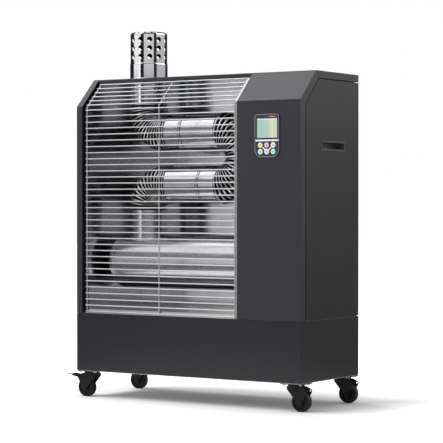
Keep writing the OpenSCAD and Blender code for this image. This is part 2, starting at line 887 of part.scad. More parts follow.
function cap_bore() = concat(
    [[0, collar_top - cap_spigot - eps],
     [spigot_r - cap_wall, collar_top - cap_spigot - eps],
     [spigot_r - cap_wall, collar_top + 2],
     [cap_r_out - cap_wall, collar_top + 2]],
    arc(cap_r_out - cap_shoulder, cap_top - cap_shoulder, cap_shoulder - cap_wall, 0, 90, 5),
    [[0, cap_top - cap_wall]]
);

module flue_cap() {
    in_frame() color(bright) translate([riser_x, pipe_y, 0]) difference() {
        union() {
            rotate_extrude() polygon(cap_outer());
            translate([0, 0, collar_top - cap_spigot])
                cylinder(h = cap_spigot + eps, r = spigot_r);
        }
        rotate_extrude() polygon(cap_bore());
        for (k = [0:cap_rows - 1])
            for (i = [0:cap_columns - 1])
                rotate([0, 0, cap_phase + i * 360 / cap_columns])
                    translate([cap_r_out - 6, 0, collar_top + cap_first_row + k * cap_pitch])
                        rotate([0, 90, 0]) cylinder(h = 12, r = cap_hole_d / 2);
        for (i = [0:small_holes - 1])
            rotate([0, 0, i * 360 / small_holes])
                translate([cap_r_out - cap_shoulder + 1, 0, cap_top - cap_shoulder + 1])
                    rotate([0, 45, 0]) cylinder(h = cap_shoulder + 2, r = small_hole_r);
    }
}

// Fuel tank on the pan, in front of the filler pocket
tank_rear = rear_y - pocket_deep - 2 * sheet_t - 2;
tank_top = seam_z - tank_head;
tank_low = base_z + sheet_t;
tank_side = side_x - tank_gap;
tank_front = front_y + tank_gap;
tank_wall = 2;

module fuel_tank() {
    in_frame() color(black_plastic) difference() {
        box(-tank_side, tank_side, tank_front, tank_rear, tank_low, tank_top);
        box(-tank_side + tank_wall, tank_side - tank_wall, tank_front + tank_wall,
            tank_rear - tank_wall, tank_low + tank_wall, tank_top - tank_wall);
        on_filler_axis() rod_z(0, 0, -neck_reach - tank_wall, 0, filler_r + run_gap);
        rod_z(pump_x, pump_y, tank_top - tank_wall - eps, tank_top + eps, line_d / 2 + run_gap);
    }
}

module filler_neck() {
    in_frame() color(galvanised) difference() {
        on_filler_axis() union() {
            rod_z(0, 0, -neck_reach, filler_rise, filler_r);
            rod_z(0, 0, lap_gap, lap_gap + neck_flange_t, filler_r + 4);
        }
        on_filler_axis() rod_z(0, 0, -neck_reach - eps, filler_rise + eps, neck_bore_r);
    }
}

// Filler cap: a soft plug in the neck, and a grip that turns on its stud
plug_depth = 9;
plug_rim_low = filler_rise + 0.3;
plug_rim_top = plug_rim_low + 2;
stud_top = plug_rim_top + 4.7;
stud_r = 5;

module filler_plug() {
    in_frame() color(dark_rubber) on_filler_axis() {
        rod_z(0, 0, filler_rise - plug_depth, plug_rim_low, neck_bore_r - 0.3);
        rod_z(0, 0, plug_rim_low, plug_rim_top, filler_r + 1);
        rod_z(0, 0, plug_rim_top, stud_top, stud_r);
    }
}

module filler_cap() {
    low = filler_rise - cap_skirt;
    in_frame() color([0.75, 0.12, 0.1]) on_filler_axis() difference() {
        union() {
            rod_z(0, 0, low, low + cap_t, cap_r);
            for (a = [0:30:330])
                rotate([0, 0, a]) translate([cap_r - 0.5, 0, low]) cylinder(h = cap_t, r = 1.8);
        }
        rod_z(0, 0, low - eps, plug_rim_top + 0.3, filler_r + 1.5);
        rod_z(0, 0, plug_rim_top, stud_top + 0.3, stud_r + run_gap);
    }
}

// Burner: blast tube, blower, motor, pump and ignition
duct_gap = 12;
blast_r = blast_d / 2;
blower_r = blower_d / 2;
blower_wall = 2;
box_x = drum_right + duct_gap;
blower_x = box_x + blower_wall + blower_r;
blower_z = drum_z + blast_r - blower_r;
blower_y0 = pipe_y - blower_w / 2;
blower_y1 = pipe_y + blower_w / 2;
nozzle_x = drum_right - 45;
duct_low = drum_z - blast_r;
duct_top = drum_z + blast_r;

module burner_tube() {
    in_frame() color(steel) difference() {
        union() {
            rod_x(nozzle_x, box_x, pipe_y, drum_z, blast_r);
            rod_x(drum_right + lap_gap, drum_right + lap_gap + flange_t, pipe_y, drum_z, flange_r);
        }
        rod_x(nozzle_x - eps, box_x + eps, pipe_y, drum_z, blast_r - 1.5);
        flange_holes();
    }
}

module blower_housing() {
    in_frame() color(steel) difference() {
        union() {
            rod_y(blower_x, blower_y0, blower_y1, blower_z, blower_r);
            box(box_x, blower_x, blower_y0, blower_y1, duct_low, duct_top);
        }
        rod_y(blower_x, blower_y0 + blower_wall, blower_y1 - blower_wall, blower_z,
            blower_r - blower_wall);
        box(box_x + blower_wall, blower_x, blower_y0 + blower_wall, blower_y1 - blower_wall,
            duct_low + blower_wall, duct_top - blower_wall - 0.3);
        rod_x(box_x - eps, box_x + blower_wall + eps, pipe_y, drum_z, blast_r - 3);
        rod_y(blower_x, blower_y0 - eps, blower_y0 + blower_wall + eps, blower_z, fan_d * 0.36);
        rod_y(blower_x, blower_y1 - blower_wall - eps, blower_y1 + eps, blower_z,
            shaft_d / 2 + blower_wall);
    }
}

module blower_motor() {
    motor_foot = blower_y1 + 6;
    motor_end = blower_y1 + motor_len;
    in_frame() color([0.3, 0.31, 0.33]) difference() {
        union() {
            rod_y(blower_x, blower_y1 + lap_gap, motor_foot, blower_z, motor_d / 2 + 4);
            rod_y(blower_x, motor_foot - eps, motor_end, blower_z, motor_d / 2);
        }
        rod_y(blower_x, blower_y1, motor_end - 8, blower_z, shaft_d / 2 + run_gap);
    }
}

// Fan wheel on the motor's shaft: a back plate, a front ring and blades
fan_plate_t = 3;
fan_blade_w = 10;
fan_blade_t = 1.2;

module fan_wheel() {
    plate_y = blower_y1 - 15;
    hub_y = plate_y - 19;
    ring_y = blower_y0 + 9;
    fan_r = fan_d / 2;
    in_frame() color(galvanised) {
        rod_y(blower_x, plate_y, plate_y + fan_plate_t, blower_z, fan_r);
        rod_y(blower_x, hub_y, plate_y + 7, blower_z, shaft_d + 2);
        rod_y(blower_x, hub_y, blower_y1 + motor_len - 14, blower_z, shaft_d / 2);
        difference() {
            rod_y(blower_x, ring_y, ring_y + fan_plate_t, blower_z, fan_r);
            rod_y(blower_x, ring_y - eps, ring_y + fan_plate_t + eps, blower_z,
                fan_r - fan_blade_w - 1);
        }
        for (i = [0:fan_blades - 1])
            translate([blower_x, 0, blower_z]) rotate([0, i * 360 / fan_blades, 0])
                box(fan_r - fan_blade_w - 0.5, fan_r - 0.5, ring_y + 1, plate_y + 2,
                    -fan_blade_t / 2, fan_blade_t / 2);
    }
}

// Ignition transformer on the partition, with its two leads' posts below
transformer_w = 62;
transformer_l = 90;
transformer_h = 65;
transformer_set = 20;
transformer_rise = 105;
terminal_l = 21;
terminal_r = 8;
transformer_y = pipe_y + transformer_set;
transformer_z = drum_z + transformer_rise;

module ignition_transformer() {
    in_frame() color([0.16, 0.17, 0.2]) {
        box(bay_x + lap_gap, bay_x + transformer_w, transformer_y, transformer_y + transformer_l,
            transformer_z, transformer_z + transformer_h);
        for (s = [-1, 1])
            rod_z(bay_x + transformer_w / 2,
                transformer_y + transformer_l / 2 + s * transformer_set,
                transformer_z - terminal_l, transformer_z, terminal_r);
    }
}

// Fuel pump on two feet, and the fuel pipe from the tank to the burner
pump_body_w = pump_d + 10;
pump_foot_w = 6;
pump_x = side_x - fold_d - fit_gap - pump_body_w / 2;
pump_y = tank_rear - 25;
pump_lift = 26;
pump_z = deck_z + pump_lift;
pump_inlet = 20;
suction_depth = 60;

module fuel_pump() {
    in_frame() color(steel) difference() {
        union() {
            rod_z(pump_x, pump_y, pump_z, pump_z + pump_h, pump_d / 2);
            box(pump_x - pump_body_w / 2, pump_x + pump_body_w / 2, pump_y - 20, pump_y + 20,
                pump_z + 12, pump_z + pump_h - 10);
            for (x = [-pump_body_w / 2, pump_body_w / 2 - pump_foot_w])
                box(pump_x + x, pump_x + x + pump_foot_w, pump_y - 15, pump_y + 15,
                    deck_z, pump_z + 14);
        }
        rod_z(pump_x, pump_y, pump_z - eps, pump_z + pump_h + eps, line_d / 2 + run_gap);
    }
}

line_top = duct_top + 24;
line_end_x = box_x + 16;

module line_run(points) {
    for (i = [0:len(points) - 2])
        let (a = points[i], b = points[i + 1], d = b - a)
            translate(a) rotate([0, acos(d[2] / norm(d)), atan2(d[1], d[0])])
                cylinder(h = norm(d), r = line_d / 2);
    for (i = [1:len(points) - 2])
        translate(points[i]) sphere(r = line_d / 2 + 1.2);
}

module fuel_line() {
    in_frame() color([0.72, 0.45, 0.25]) {
        rod_z(pump_x, pump_y, tank_top - suction_depth, pump_z + pump_inlet, line_d / 2);
        line_run([[pump_x, pump_y, pump_z + pump_h - 12], [pump_x, pump_y, line_top],
            [pump_x, pipe_y, line_top], [line_end_x, pipe_y, line_top],
            [line_end_x, pipe_y, duct_top]]);
    }
}

// Display unit, its board and its push buttons
unit_lip = 4;
unit_wall = 1.2;
unit_rim = 2;
lcd_recess = 1.8;
lcd_gap = 0.1;

module display_bezel() {
    in_frame() color(black_plastic) difference() {
        union() {
            along_y(face_y, front_y) polygon(unit_outline(0));
            along_y(front_y - 0.5, front_y + unit_depth) polygon(unit_outline(unit_lip));
        }
        along_y(face_y - eps, face_y + 0.5) polygon(unit_outline(unit_rim));
        along_y(front_y, front_y + unit_depth + eps) polygon(unit_outline(unit_lip + unit_wall));
        box(unit_x - lcd_w / 2, unit_x + lcd_w / 2, face_y, face_y + lcd_recess,
            lcd_top - lcd_h, lcd_top);
        for (i = [0:5])
            rod_y(button_x(i), face_y - eps, front_y + eps, button_z(i), button_d / 2 + 0.35);
    }
}

module lcd_window() {
    in_frame() color([0.72, 0.82, 0.78])
        box(unit_x - lcd_w / 2 + lcd_gap, unit_x + lcd_w / 2 - lcd_gap,
            face_y + 0.7, face_y + lcd_recess - run_gap,
            lcd_top - lcd_h + lcd_gap, lcd_top - lcd_gap);
}

// Board behind the unit, with a relay block and a capacitor block
board_t = 1.6;
relay_t = 12;
capacitor_t = 18;

module control_board() {
    board_y = front_y + unit_depth + run_gap;
    back_y = board_y + board_t;
    in_frame() color([0.1, 0.32, 0.2]) {
        along_y(board_y, back_y) polygon(unit_outline(unit_lip + 0.5));
        box(unit_x - 20, unit_x + 20, back_y, back_y + relay_t, unit_z + 5, unit_z + 35);
        box(unit_x - 22, unit_x - 4, back_y, back_y + capacitor_t, unit_z - 35, unit_z - 15);
    }
}

// Places of the buttons: three across, two rows, counted from the top left
function button_x(i) = unit_x + (i % 3 - 1) * button_px;
function button_z(i) = button_row_1 - floor(i / 3) * button_pz;

// Push button: cap, collar that stops behind the face, and stem. The stem
// stops short of the board by its travel
button_back = front_y + 1.4;
stem_end = front_y + unit_depth - button_travel - 0.6;

module push_button(i, tint) {
    in_frame() color(tint) {
        rod_y(button_x(i), face_y - button_proud, button_back, button_z(i), button_d / 2);
        rod_y(button_x(i), front_y + 0.3, button_back, button_z(i), button_d / 2 + 0.7);
        rod_y(button_x(i), front_y + 1, stem_end, button_z(i), 2.5);
    }
}

module button_1() { push_button(0, [0.8, 0.78, 0.3]); }
module button_2() { push_button(1, [0.85, 0.45, 0.5]); }
module button_3() { push_button(2, [0.9, 0.9, 0.9]); }
module button_4() { push_button(3, [0.5, 0.8, 0.78]); }
module button_5() { push_button(4, [0.9, 0.9, 0.9]); }
module button_6() { push_button(5, [0.5, 0.85, 0.75]); }

// Mains inlet on the rear panel
inlet_w = 27.5;
inlet_h = 20;
inlet_depth = 22;
inlet_floor = 6;
inlet_x = side_x - 95;
inlet_z = seam_z + 60;

module power_inlet() {
    well_y = rear_y - inlet_depth + inlet_floor;
    in_frame() color(black_plastic) {
        difference() {
            union() {
                box(inlet_x - 25, inlet_x + 25, rear_y + run_gap, rear_y + inlet_flange,
                    inlet_z - 14, inlet_z + 14);
                box(inlet_x - inlet_w / 2, inlet_x + inlet_w / 2, rear_y - inlet_depth,
                    rear_y + 1, inlet_z - inlet_h / 2, inlet_z + inlet_h / 2);
            }
            box(inlet_x - inlet_w / 2 + 1.5, inlet_x + inlet_w / 2 - 1.5, well_y,
                rear_y + inlet_flange + eps, inlet_z - inlet_h / 2 + 2, inlet_z + inlet_h / 2 - 2);
        }
        for (p = [[-7, -2], [0, 3], [7, -2]])
            box(inlet_x + p[0] - 1, inlet_x + p[0] + 1, well_y - 1, rear_y - 2,
                inlet_z + p[1] - 2, inlet_z + p[1] + 2);
    }
}

// Casters: plate and kingpin, fork, wheel and brake lever. Each is drawn at
// the origin, trailing towards +X, and then set at its corner
plate_t = 2;
fork_top = caster_h - plate_t - 0.3;
fork_in = wheel_w / 2 + 1.5;
fork_t = 2.5;
fork_out = fork_in + fork_t;
head_low = fork_top - 9.4;
head_r = 21;
kingpin_r = caster_pin_d / 2;
kingpin_head_r = kingpin_r + 3;
axle_r = caster_pin_d / 2;
axle_head_r = axle_r + 2;
axle_end = fork_out + 1.8;
bolt_r = 3;
bolt_x = 24;
bolt_y = 19;
bolt_head_h = 2.2;
brake_px = trail + 18;
brake_pz = wheel_r + 27.5;
brake_pin_r = 2.5;

module at_corner(sx, sy) {
    in_frame() translate([sx * caster_side, sy * caster_fore, 0])
        mirror([sx < 0 ? 1 : 0, 0, 0]) children();
}

module at_bolts() {
    for (x = [-bolt_x, bolt_x])
        for (y = [-bolt_y, bolt_y])
            translate([x, y, 0]) children();
}

module caster_plate_one() {
    difference() {
        box(-bolt_x - 7, bolt_x + 7, -bolt_y - 7, bolt_y + 7, caster_h - plate_t, caster_h);
        at_bolts() rod_z(0, 0, caster_h - plate_t - eps, caster_h + eps, bolt_r + lap_gap);
    }
    rod_z(0, 0, head_low - 0.6, caster_h - 1, kingpin_r);
    rod_z(0, 0, head_low - 2.6, head_low - 0.3, kingpin_head_r);
}

module caster_plates() {
    for (sx = [-1, 1])
        for (sy = [-1, 1])
            at_corner(sx, sy) color(black_plastic) caster_plate_one();
}

module caster_bolt_holes() {
    for (sx = [-1, 1])
        for (sy = [-1, 1])
            translate([sx * caster_side, sy * caster_fore, 0])
                at_bolts() rod_z(0, 0, caster_h - eps, tank_low + eps, bolt_r + lap_gap);
}

module caster_bolts() {
    for (sx = [-1, 1])
        for (sy = [-1, 1])
            at_corner(sx, sy) color(steel) at_bolts() {
                rod_z(0, 0, caster_h - plate_t, tank_low, bolt_r);
                translate([0, 0, caster_h - plate_t - bolt_head_h])
                    cylinder(h = bolt_head_h, r = bolt_r + 1.6, $fn = 6);
            }
}

module fork_one() {
    difference() {
        union() {
            rod_z(0, 0, head_low, fork_top, head_r);
            for (y = [-fork_out, fork_in])
                along_y(y, y + fork_t) {
                    polygon([[1 - head_r, fork_top - 5], [1 - head_r, fork_top - 12],
                        [trail - 9, wheel_r], [trail + 8.5, wheel_r - 2],
                        [brake_px + 4, brake_pz - 3], [brake_px + 4, brake_pz + 3],
                        [trail + 6, fork_top - 5]]);
                    translate([trail, wheel_r]) circle(r = 9);
                }
            box(3 - head_r, trail + 4, -fork_out, fork_out, fork_top - 12, fork_top - 8);
        }
        rod_z(0, 0, wheel_r, fork_top + eps, kingpin_r + run_gap);
        rod_z(0, 0, wheel_r, head_low, kingpin_head_r + 0.6);
        rod_y(trail, -fork_out - eps, fork_out + eps, wheel_r, axle_r + run_gap);
        rod_y(brake_px, -fork_out - eps, fork_out + eps, brake_pz, brake_pin_r + run_gap);
    }
    rod_y(trail, -axle_end, axle_end, wheel_r, axle_r);
    for (s = [-1, 1])
        rod_y(trail, s * (axle_end + fork_out + lap_gap) / 2 - 0.8,
            s * (axle_end + fork_out + lap_gap) / 2 + 0.8, wheel_r, axle_head_r);
}

// Half outline of a wheel on one side of its middle: tread, web and hub
function wheel_half(s) = [
    [wheel_r, s * (wheel_w / 2 - 3)], [wheel_r - 2, s * wheel_w / 2],
    [wheel_r - 6, s * wheel_w / 2], [wheel_r - 7, s * (wheel_w / 2 - 3)],
    [hub_r, s * (wheel_w / 2 - 3)], [hub_r, s * (wheel_w / 2 + 1)],
    [axle_r + 0.1, s * (wheel_w / 2 + 1)]
];
hub_r = 9;

function turned_round(points) = [for (i = [len(points) - 1:-1:0]) points[i]];

module wheel_one() {
    translate([trail, 0, wheel_r]) rotate([90, 0, 0])
        rotate_extrude() polygon(concat(wheel_half(1), turned_round(wheel_half(-1))));
}

// Brake lever: a pin through the fork, a shoe over the tread and a pedal
// that narrows to a thin tab
module brake_one() {
    lever_y = fork_in - 0.5;
    shoe_y = fork_in - 2;
    pedal_x = brake_px + 26;
    rod_y(brake_px, -fork_out - 1.5, fork_out + 1.5, brake_pz, brake_pin_r);
    rod_y(brake_px, -lever_y, lever_y, brake_pz, brake_pin_r + 2);
    rod_y(brake_px + 2, -shoe_y, shoe_y, brake_pz - 6, 2.5);
    box(brake_px - 1, brake_px + 4, -shoe_y, shoe_y, brake_pz - 6, brake_pz);
    along_y(-lever_y, lever_y) polygon([
        [brake_px, brake_pz], [brake_px + 5, brake_pz - 3], [pedal_x, brake_pz + 2],
        [pedal_x, brake_pz + 7], [brake_px, brake_pz + 4.5]
    ]);
    box(pedal_x - 6, brake_reach, -4, 4, brake_pz + 3.5, brake_pz + 5);
}

module fork_front_left() { at_corner(-1, -1) color(black_plastic) fork_one(); }
module fork_front_right() { at_corner(1, -1) color(black_plastic) fork_one(); }
module fork_rear_left() { at_corner(-1, 1) color(black_plastic) fork_one(); }
module fork_rear_right() { at_corner(1, 1) color(black_plastic) fork_one(); }
module wheel_front_left() { at_corner(-1, -1) color(dark_rubber) wheel_one(); }
module wheel_front_right() { at_corner(1, -1) color(dark_rubber) wheel_one(); }
module wheel_rear_left() { at_corner(-1, 1) color(dark_rubber) wheel_one(); }
module wheel_rear_right() { at_corner(1, 1) color(dark_rubber) wheel_one(); }
module brake_front_left() { at_corner(-1, -1) color(dark_paint) brake_one(); }
module brake_rear_left() { at_corner(-1, 1) color(dark_paint) brake_one(); }

base_box();
base_pan();
base_deck();
left_front_post();
left_side_panel();
right_side_panel();
roof_panel();
control_cover();
rear_panel();
partition_wall();
grip_cups();
wire_grille();
panel_screws();
reflector_back();
reflector_left();
reflector_top();
reflector_floor();
combustion_drum();
drum_neck();
lower_elbow();
middle_pipe();
return_bend();
upper_pipe();
upper_elbow();
flue_pipe();
flue_collar();
flue_cap();
fuel_tank();
filler_neck();
filler_plug();
filler_cap();
fuel_pump();
fuel_line();
burner_tube();
blower_housing();
blower_motor();
fan_wheel();
ignition_transformer();
display_bezel();
lcd_window();
control_board();
button_1();
button_2();
button_3();
button_4();
button_5();
button_6();
power_inlet();
caster_plates();
caster_bolts();
fork_front_left();
fork_front_right();
fork_rear_left();
fork_rear_right();
wheel_front_left();
wheel_front_right();
wheel_rear_left();
wheel_rear_right();
brake_front_left();
brake_rear_left();
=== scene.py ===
# %% [markdown]
# # An oil-fired infrared heater
# The heater is a dark sheet-metal cabinet on four casters. Behind a wire grille a steel drum
# burns fuel, and its hot gas runs through two pipes and three corrugated bends to a perforated
# cap on the roof. Bright sheets behind the pipes throw the heat forwards.
#
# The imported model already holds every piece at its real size. This notebook loads it as a fixed
# frame, rounds the folded edges, models the pieces whose shape is finer than the frame's, and
# gives each surface its finish. It ends with a camera and a small studio.

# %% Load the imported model
import json
import math

import bmesh
import bpy
from mathutils import Matrix, Vector


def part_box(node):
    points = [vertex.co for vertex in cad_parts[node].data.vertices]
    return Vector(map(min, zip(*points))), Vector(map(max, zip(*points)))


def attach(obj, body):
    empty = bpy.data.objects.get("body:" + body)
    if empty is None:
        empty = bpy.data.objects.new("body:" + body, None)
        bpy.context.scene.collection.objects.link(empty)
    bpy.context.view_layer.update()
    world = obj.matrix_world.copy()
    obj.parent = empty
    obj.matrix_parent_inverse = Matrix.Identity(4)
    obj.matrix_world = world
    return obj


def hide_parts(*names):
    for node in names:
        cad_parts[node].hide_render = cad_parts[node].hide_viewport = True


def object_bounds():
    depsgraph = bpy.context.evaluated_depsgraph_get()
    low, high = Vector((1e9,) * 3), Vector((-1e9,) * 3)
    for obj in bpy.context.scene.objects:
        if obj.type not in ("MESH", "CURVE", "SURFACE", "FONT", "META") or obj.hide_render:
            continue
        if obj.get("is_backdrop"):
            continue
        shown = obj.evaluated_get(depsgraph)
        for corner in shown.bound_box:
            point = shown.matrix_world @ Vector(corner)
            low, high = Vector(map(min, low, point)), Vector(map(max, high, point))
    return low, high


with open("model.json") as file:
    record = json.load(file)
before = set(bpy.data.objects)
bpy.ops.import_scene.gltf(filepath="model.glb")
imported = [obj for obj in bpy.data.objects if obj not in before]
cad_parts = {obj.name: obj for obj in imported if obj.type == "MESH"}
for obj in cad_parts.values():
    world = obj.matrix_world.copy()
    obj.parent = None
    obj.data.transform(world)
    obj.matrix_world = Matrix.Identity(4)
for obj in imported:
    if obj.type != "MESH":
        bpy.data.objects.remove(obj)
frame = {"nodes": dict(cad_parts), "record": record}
cad_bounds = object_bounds()
nodes = frame["nodes"]
body_of_node = {n: body for body, names in frame["record"]["behaviour"]["bodies"].items() for n in names}
slot_of_node = {row["node"]: row["material_slot"] for row in frame["record"]["subparts"]}
MM = 0.001

# %% [markdown]
# ## Measures
# The places of the pipes and the bends follow from the boxes of the nodes, so each new piece
# lands where the frame holds it. Only a bend's own radius doesn't show in a box: both elbows turn
# between the same two pipes, and the rest of the way is a straight ribbed run.

# %% Take the heater's measures from the frame
def middle(node):
    low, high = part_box(node)
    return (low + high) / 2


LOW_BEND = 56 * MM
TOP_BEND = 64 * MM
flue = middle("flue_pipe")
low_pipe = middle("middle_pipe")
top_pipe = middle("upper_pipe")
neck_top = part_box("drum_neck")[1].z
pipe_left, pipe_right = [corner.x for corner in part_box("middle_pipe")]
rib_radius = (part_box("lower_elbow")[1].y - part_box("lower_elbow")[0].y) / 2
pipe_radius = (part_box("flue_cap")[1].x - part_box("flue_cap")[0].x) / 2
return_bend = (top_pipe.z - low_pipe.z) / 2
neck_run = low_pipe.z - LOW_BEND - neck_top
low_run = pipe_left - flue.x - LOW_BEND
top_run = pipe_left - flue.x - TOP_BEND
print("pipe radius", round(pipe_radius / MM, 1), "mm, return bend", round(return_bend / MM, 1),
      "mm, straight runs", [round(run / MM, 1) for run in (neck_run, low_run, top_run)])

# %% [markdown]
# ## Shader maths in plain expressions
# A finish is a small sum: a colour, plus a little noise, less a little wear. Wiring such sums by
# hand hides them, so a socket is wrapped in a class whose operators add the Math nodes. The
# reflected operators are there too, so `1 - mask` works as well as `mask * 2`.

# %% Wrap a socket so that expressions add Math nodes
class Field:
    """A value that varies over a surface: one output socket of a node tree."""

    def __init__(self, graph, socket):
        self.graph = graph
        self.socket = socket

    def maths(self, operation, first, second):
        return self.graph.add("ShaderNodeMath", {"operation": operation}, {0: first, 1: second})

    def __add__(self, other):
        return self.maths("ADD", self, other)

    def __sub__(self, other):
        return self.maths("SUBTRACT", self, other)

    def __mul__(self, other):
        return self.maths("MULTIPLY", self, other)

    def __truediv__(self, other):
        return self.maths("DIVIDE", self, other)

    def __rsub__(self, other):
        return self.maths("SUBTRACT", other, self)

    __radd__ = __add__
    __rmul__ = __mul__

    def most(self, other):
        return self.maths("MAXIMUM", self, other)

    def size(self):
        return self.maths("ABSOLUTE", self, 0.0)

    def step(self, start, end):
        """0 below start, 1 above end, and a soft ramp between them."""
        return self.graph.add("ShaderNodeMapRange", {"interpolation_type": "SMOOTHSTEP"},
                              {"Value": self, "From Min": start, "From Max": end})

    def twin(self, output):
        """Another output of the same node."""
        return Field(self.graph, self.socket.node.outputs[output])


print("a Field is one socket that can be added, subtracted, multiplied and divided")

# %% [markdown]
# A node tree gets one method for every other node: it takes the type, the settings, which are set
# first, and the values or links of the sockets. A finish is such a tree with a Principled
# surface, and with the few patterns that this heater's metals, paints and plastics share.

# %% Add any node to a tree, and make a finish of it
class Graph:
    """An emptied node tree, and the one method that adds any node to it."""

    def __init__(self, tree):
        self.tree = tree
        self.tree.nodes.clear()

    def connect(self, node, sockets):
        for key, value in sockets.items():
            socket = node.inputs[key]
            if isinstance(value, Field):
                self.tree.links.new(value.socket, socket)
            else:
                socket.default_value = value

    def add(self, kind, settings, sockets, output=0):
        """Adds a node: its settings first, then its sockets, and gives one output."""
        node = self.tree.nodes.new(kind)
        for key, value in settings.items():
            setattr(node, key, value)
        self.connect(node, sockets)
        return Field(self, node.outputs[output]) if node.outputs else node


class Finish(Graph):
    """A material with one Principled surface."""

    def __init__(self, name):
        self.material = bpy.data.materials.new(name)
        self.material.use_nodes = True
        super().__init__(self.material.node_tree)
        skin = self.add("ShaderNodeBsdfPrincipled", {}, {})
        self.surface = skin.socket.node
        self.add("ShaderNodeOutputMaterial", {}, {"Surface": skin})
        self.place = self.add("ShaderNodeTexCoord", {}, {}, "Object")

    def skin(self, colour, roughness, relief=None, metal=0.0, gloss=0.5):
        """Sets the surface. A relief is a height with a bump's strength and its depth in metres."""
        sockets = {"Base Color": colour, "Roughness": roughness, "Metallic": metal,
                   "Specular IOR Level": gloss}
        if relief:
            names = ("Height", "Strength", "Distance")
            sockets["Normal"] = self.add("ShaderNodeBump", {}, dict(zip(names, relief)))
        self.connect(self.surface, sockets)
        return self.material

    def along(self, axis):
        """One coordinate of the place on the surface, in metres."""
        return self.add("ShaderNodeSeparateXYZ", {}, {"Vector": self.place}, axis)

    def away_from(self, point, across):
        """How far the place lies from an axis: across is 1 for the two directions that count."""
        flat = self.add("ShaderNodeVectorMath", {"operation": "MULTIPLY"}, {0: self.place, 1: across})
        return self.add("ShaderNodeVectorMath", {"operation": "DISTANCE"}, {0: flat, 1: point}, "Value")

    def noise(self, scale, detail=3.0, place=None):
        sockets = {"Vector": place or self.place, "Scale": scale, "Detail": detail}
        return self.add("ShaderNodeTexNoise", {}, sockets)

    def drawn_out(self, squeeze, detail=3.0):
        """Noise squeezed along each axis by its own amount, which draws it into lines."""
        place = self.add("ShaderNodeMapping", {}, {"Vector": self.place, "Scale": squeeze})
        return self.noise(1.0, detail, place)

    def blend(self, share, first, second):
        """A colour between two others. A Mix node keeps its colour sockets at 6 and 7."""
        return self.add("ShaderNodeMix", {"data_type": "RGBA"}, {0: share, 6: first, 7: second}, 2)


def below(value, high, soft=0.3 * MM):
    """1 up to high, with a soft end."""
    return 1 - value.step(high - soft, high + soft)


def between(value, low, high, soft=0.3 * MM):
    """1 from low to high, with soft ends."""
    return value.step(low - soft, low + soft) * below(value, high, soft)


def grey(level, cool=0.0):
    """A grey colour, whose blue is raised by a share."""
    return (level, level, level * (1 + cool), 1.0)


print("Graph and Finish are ready")

# %% [markdown]
# ## Finishes
# Sheet metal is sprayed with powder and baked, which leaves a satin skin with a fine orange peel.
# A plain grey would look like card, so the colour is slightly cloudy, the gloss follows the same
# clouds, and a bump of about a millimetre's grain breaks the highlights.

# %% Powder coat
BLUISH = 0.24
STEEL_BLUISH = BLUISH / 4


def powder_coat(name, level):
    coat = Finish(name)
    cloud = coat.noise(7.0, 2.0)
    peel = coat.noise(850.0, 2.0)
    colour = coat.blend(cloud, grey(level * 0.9, BLUISH), grey(level * 1.1, BLUISH))
    return coat.skin(colour, 0.36 + cloud * 0.1, (peel, 0.3, 0.00012))


finish_of_slot = {
    "cabinet_paint": powder_coat("cabinet_paint", 0.026),
    # The side panels' paint is the cabinet's powder coat at under half its level: painted shade for
    # sides that face away from the key light.
    "side_paint": powder_coat("side_paint", 0.012),
}
print("two coats of paint")

# %% [markdown]
# Stainless sheet and tube are the same metal with different last passes. The mirror sheets are
# bright and a little wavy, because thin sheet never lies quite flat. The tubes are polished on
# a lathe, so their fine lines run round them: noise squeezed hard along the tube's axis and
# left long across it. One function makes all the tubes, with the squeeze as its argument. The
# mirror's floor is darker and duller in a band from just behind its front lip to under the drum.

# %% Stainless steel: mirror sheet and turned tube
def mirror_sheet(name):
    sheet = Finish(name)
    smear = sheet.noise(14.0, 3.0)
    wave = sheet.noise(5.5, 1.0)
    colour = sheet.blend(smear, grey(0.66, STEEL_BLUISH), grey(0.72, STEEL_BLUISH))
    return sheet.skin(colour, 0.13 + smear * 0.04, (wave, 0.5, 0.002), metal=1.0)


def turned_steel(name, level, roughness, squeeze, relief=0.012):
    steel = Finish(name)
    lines = steel.drawn_out(squeeze)
    smear = steel.noise(24.0, 2.0)
    colour = steel.blend(lines, grey(level * 0.975, STEEL_BLUISH), grey(level, STEEL_BLUISH))
    rough = roughness * 0.85 + lines * (roughness * 0.2) + smear * (roughness * 0.1)
    return steel.skin(colour, rough, (lines, relief, 0.0001), metal=1.0)


def banded_floor_sheet(name, front):
    """The mirror floor, darker and duller in a band from just behind its front lip to under the drum."""
    sheet = Finish(name)
    smear = sheet.noise(14.0, 3.0)
    y = sheet.along("Y") - front
    # Darker and duller in a band from just behind the front lip to under the drum.
    tone_share = y.step(1.5 * MM, 4 * MM) * (1 - y.step(50 * MM, 80 * MM))
    colour = sheet.blend(tone_share, grey(0.85), grey(0.1))
    return sheet.skin(colour, 0.15 + smear * 0.1 + tone_share * 0.05, metal=1.0)


ALONG_X = (300.0, 9.0, 9.0)
ALONG_Z = (9.0, 9.0, 300.0)
flue_steel = turned_steel("polished_flue", 0.8, 0.1, ALONG_Z)
weld_steel = turned_steel("weld_steel", 0.8, 0.22, (400.0, 400.0, 400.0))
finish_of_slot["mirror_sheet"] = mirror_sheet("mirror_sheet")
finish_of_slot["polished_steel"] = turned_steel("polished_pipe", 0.66, 0.17, ALONG_X)
finish_of_slot["satin_steel"] = turned_steel("satin_drum", 0.66, 0.24, ALONG_X, relief=0.004)
finish_of_slot["burner_steel"] = turned_steel("burner_steel", 0.45, 0.36, (60.0, 60.0, 60.0))
finish_of_node = {
    "reflector_floor": banded_floor_sheet("mirror_floor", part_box("reflector_floor")[0].y),
    "drum_neck": turned_steel("satin_neck", 0.66, 0.24, ALONG_Z),
    "flue_pipe": flue_steel, "flue_collar": flue_steel, "flue_cap": flue_steel,
}
print("two mirrors and six turned steels")
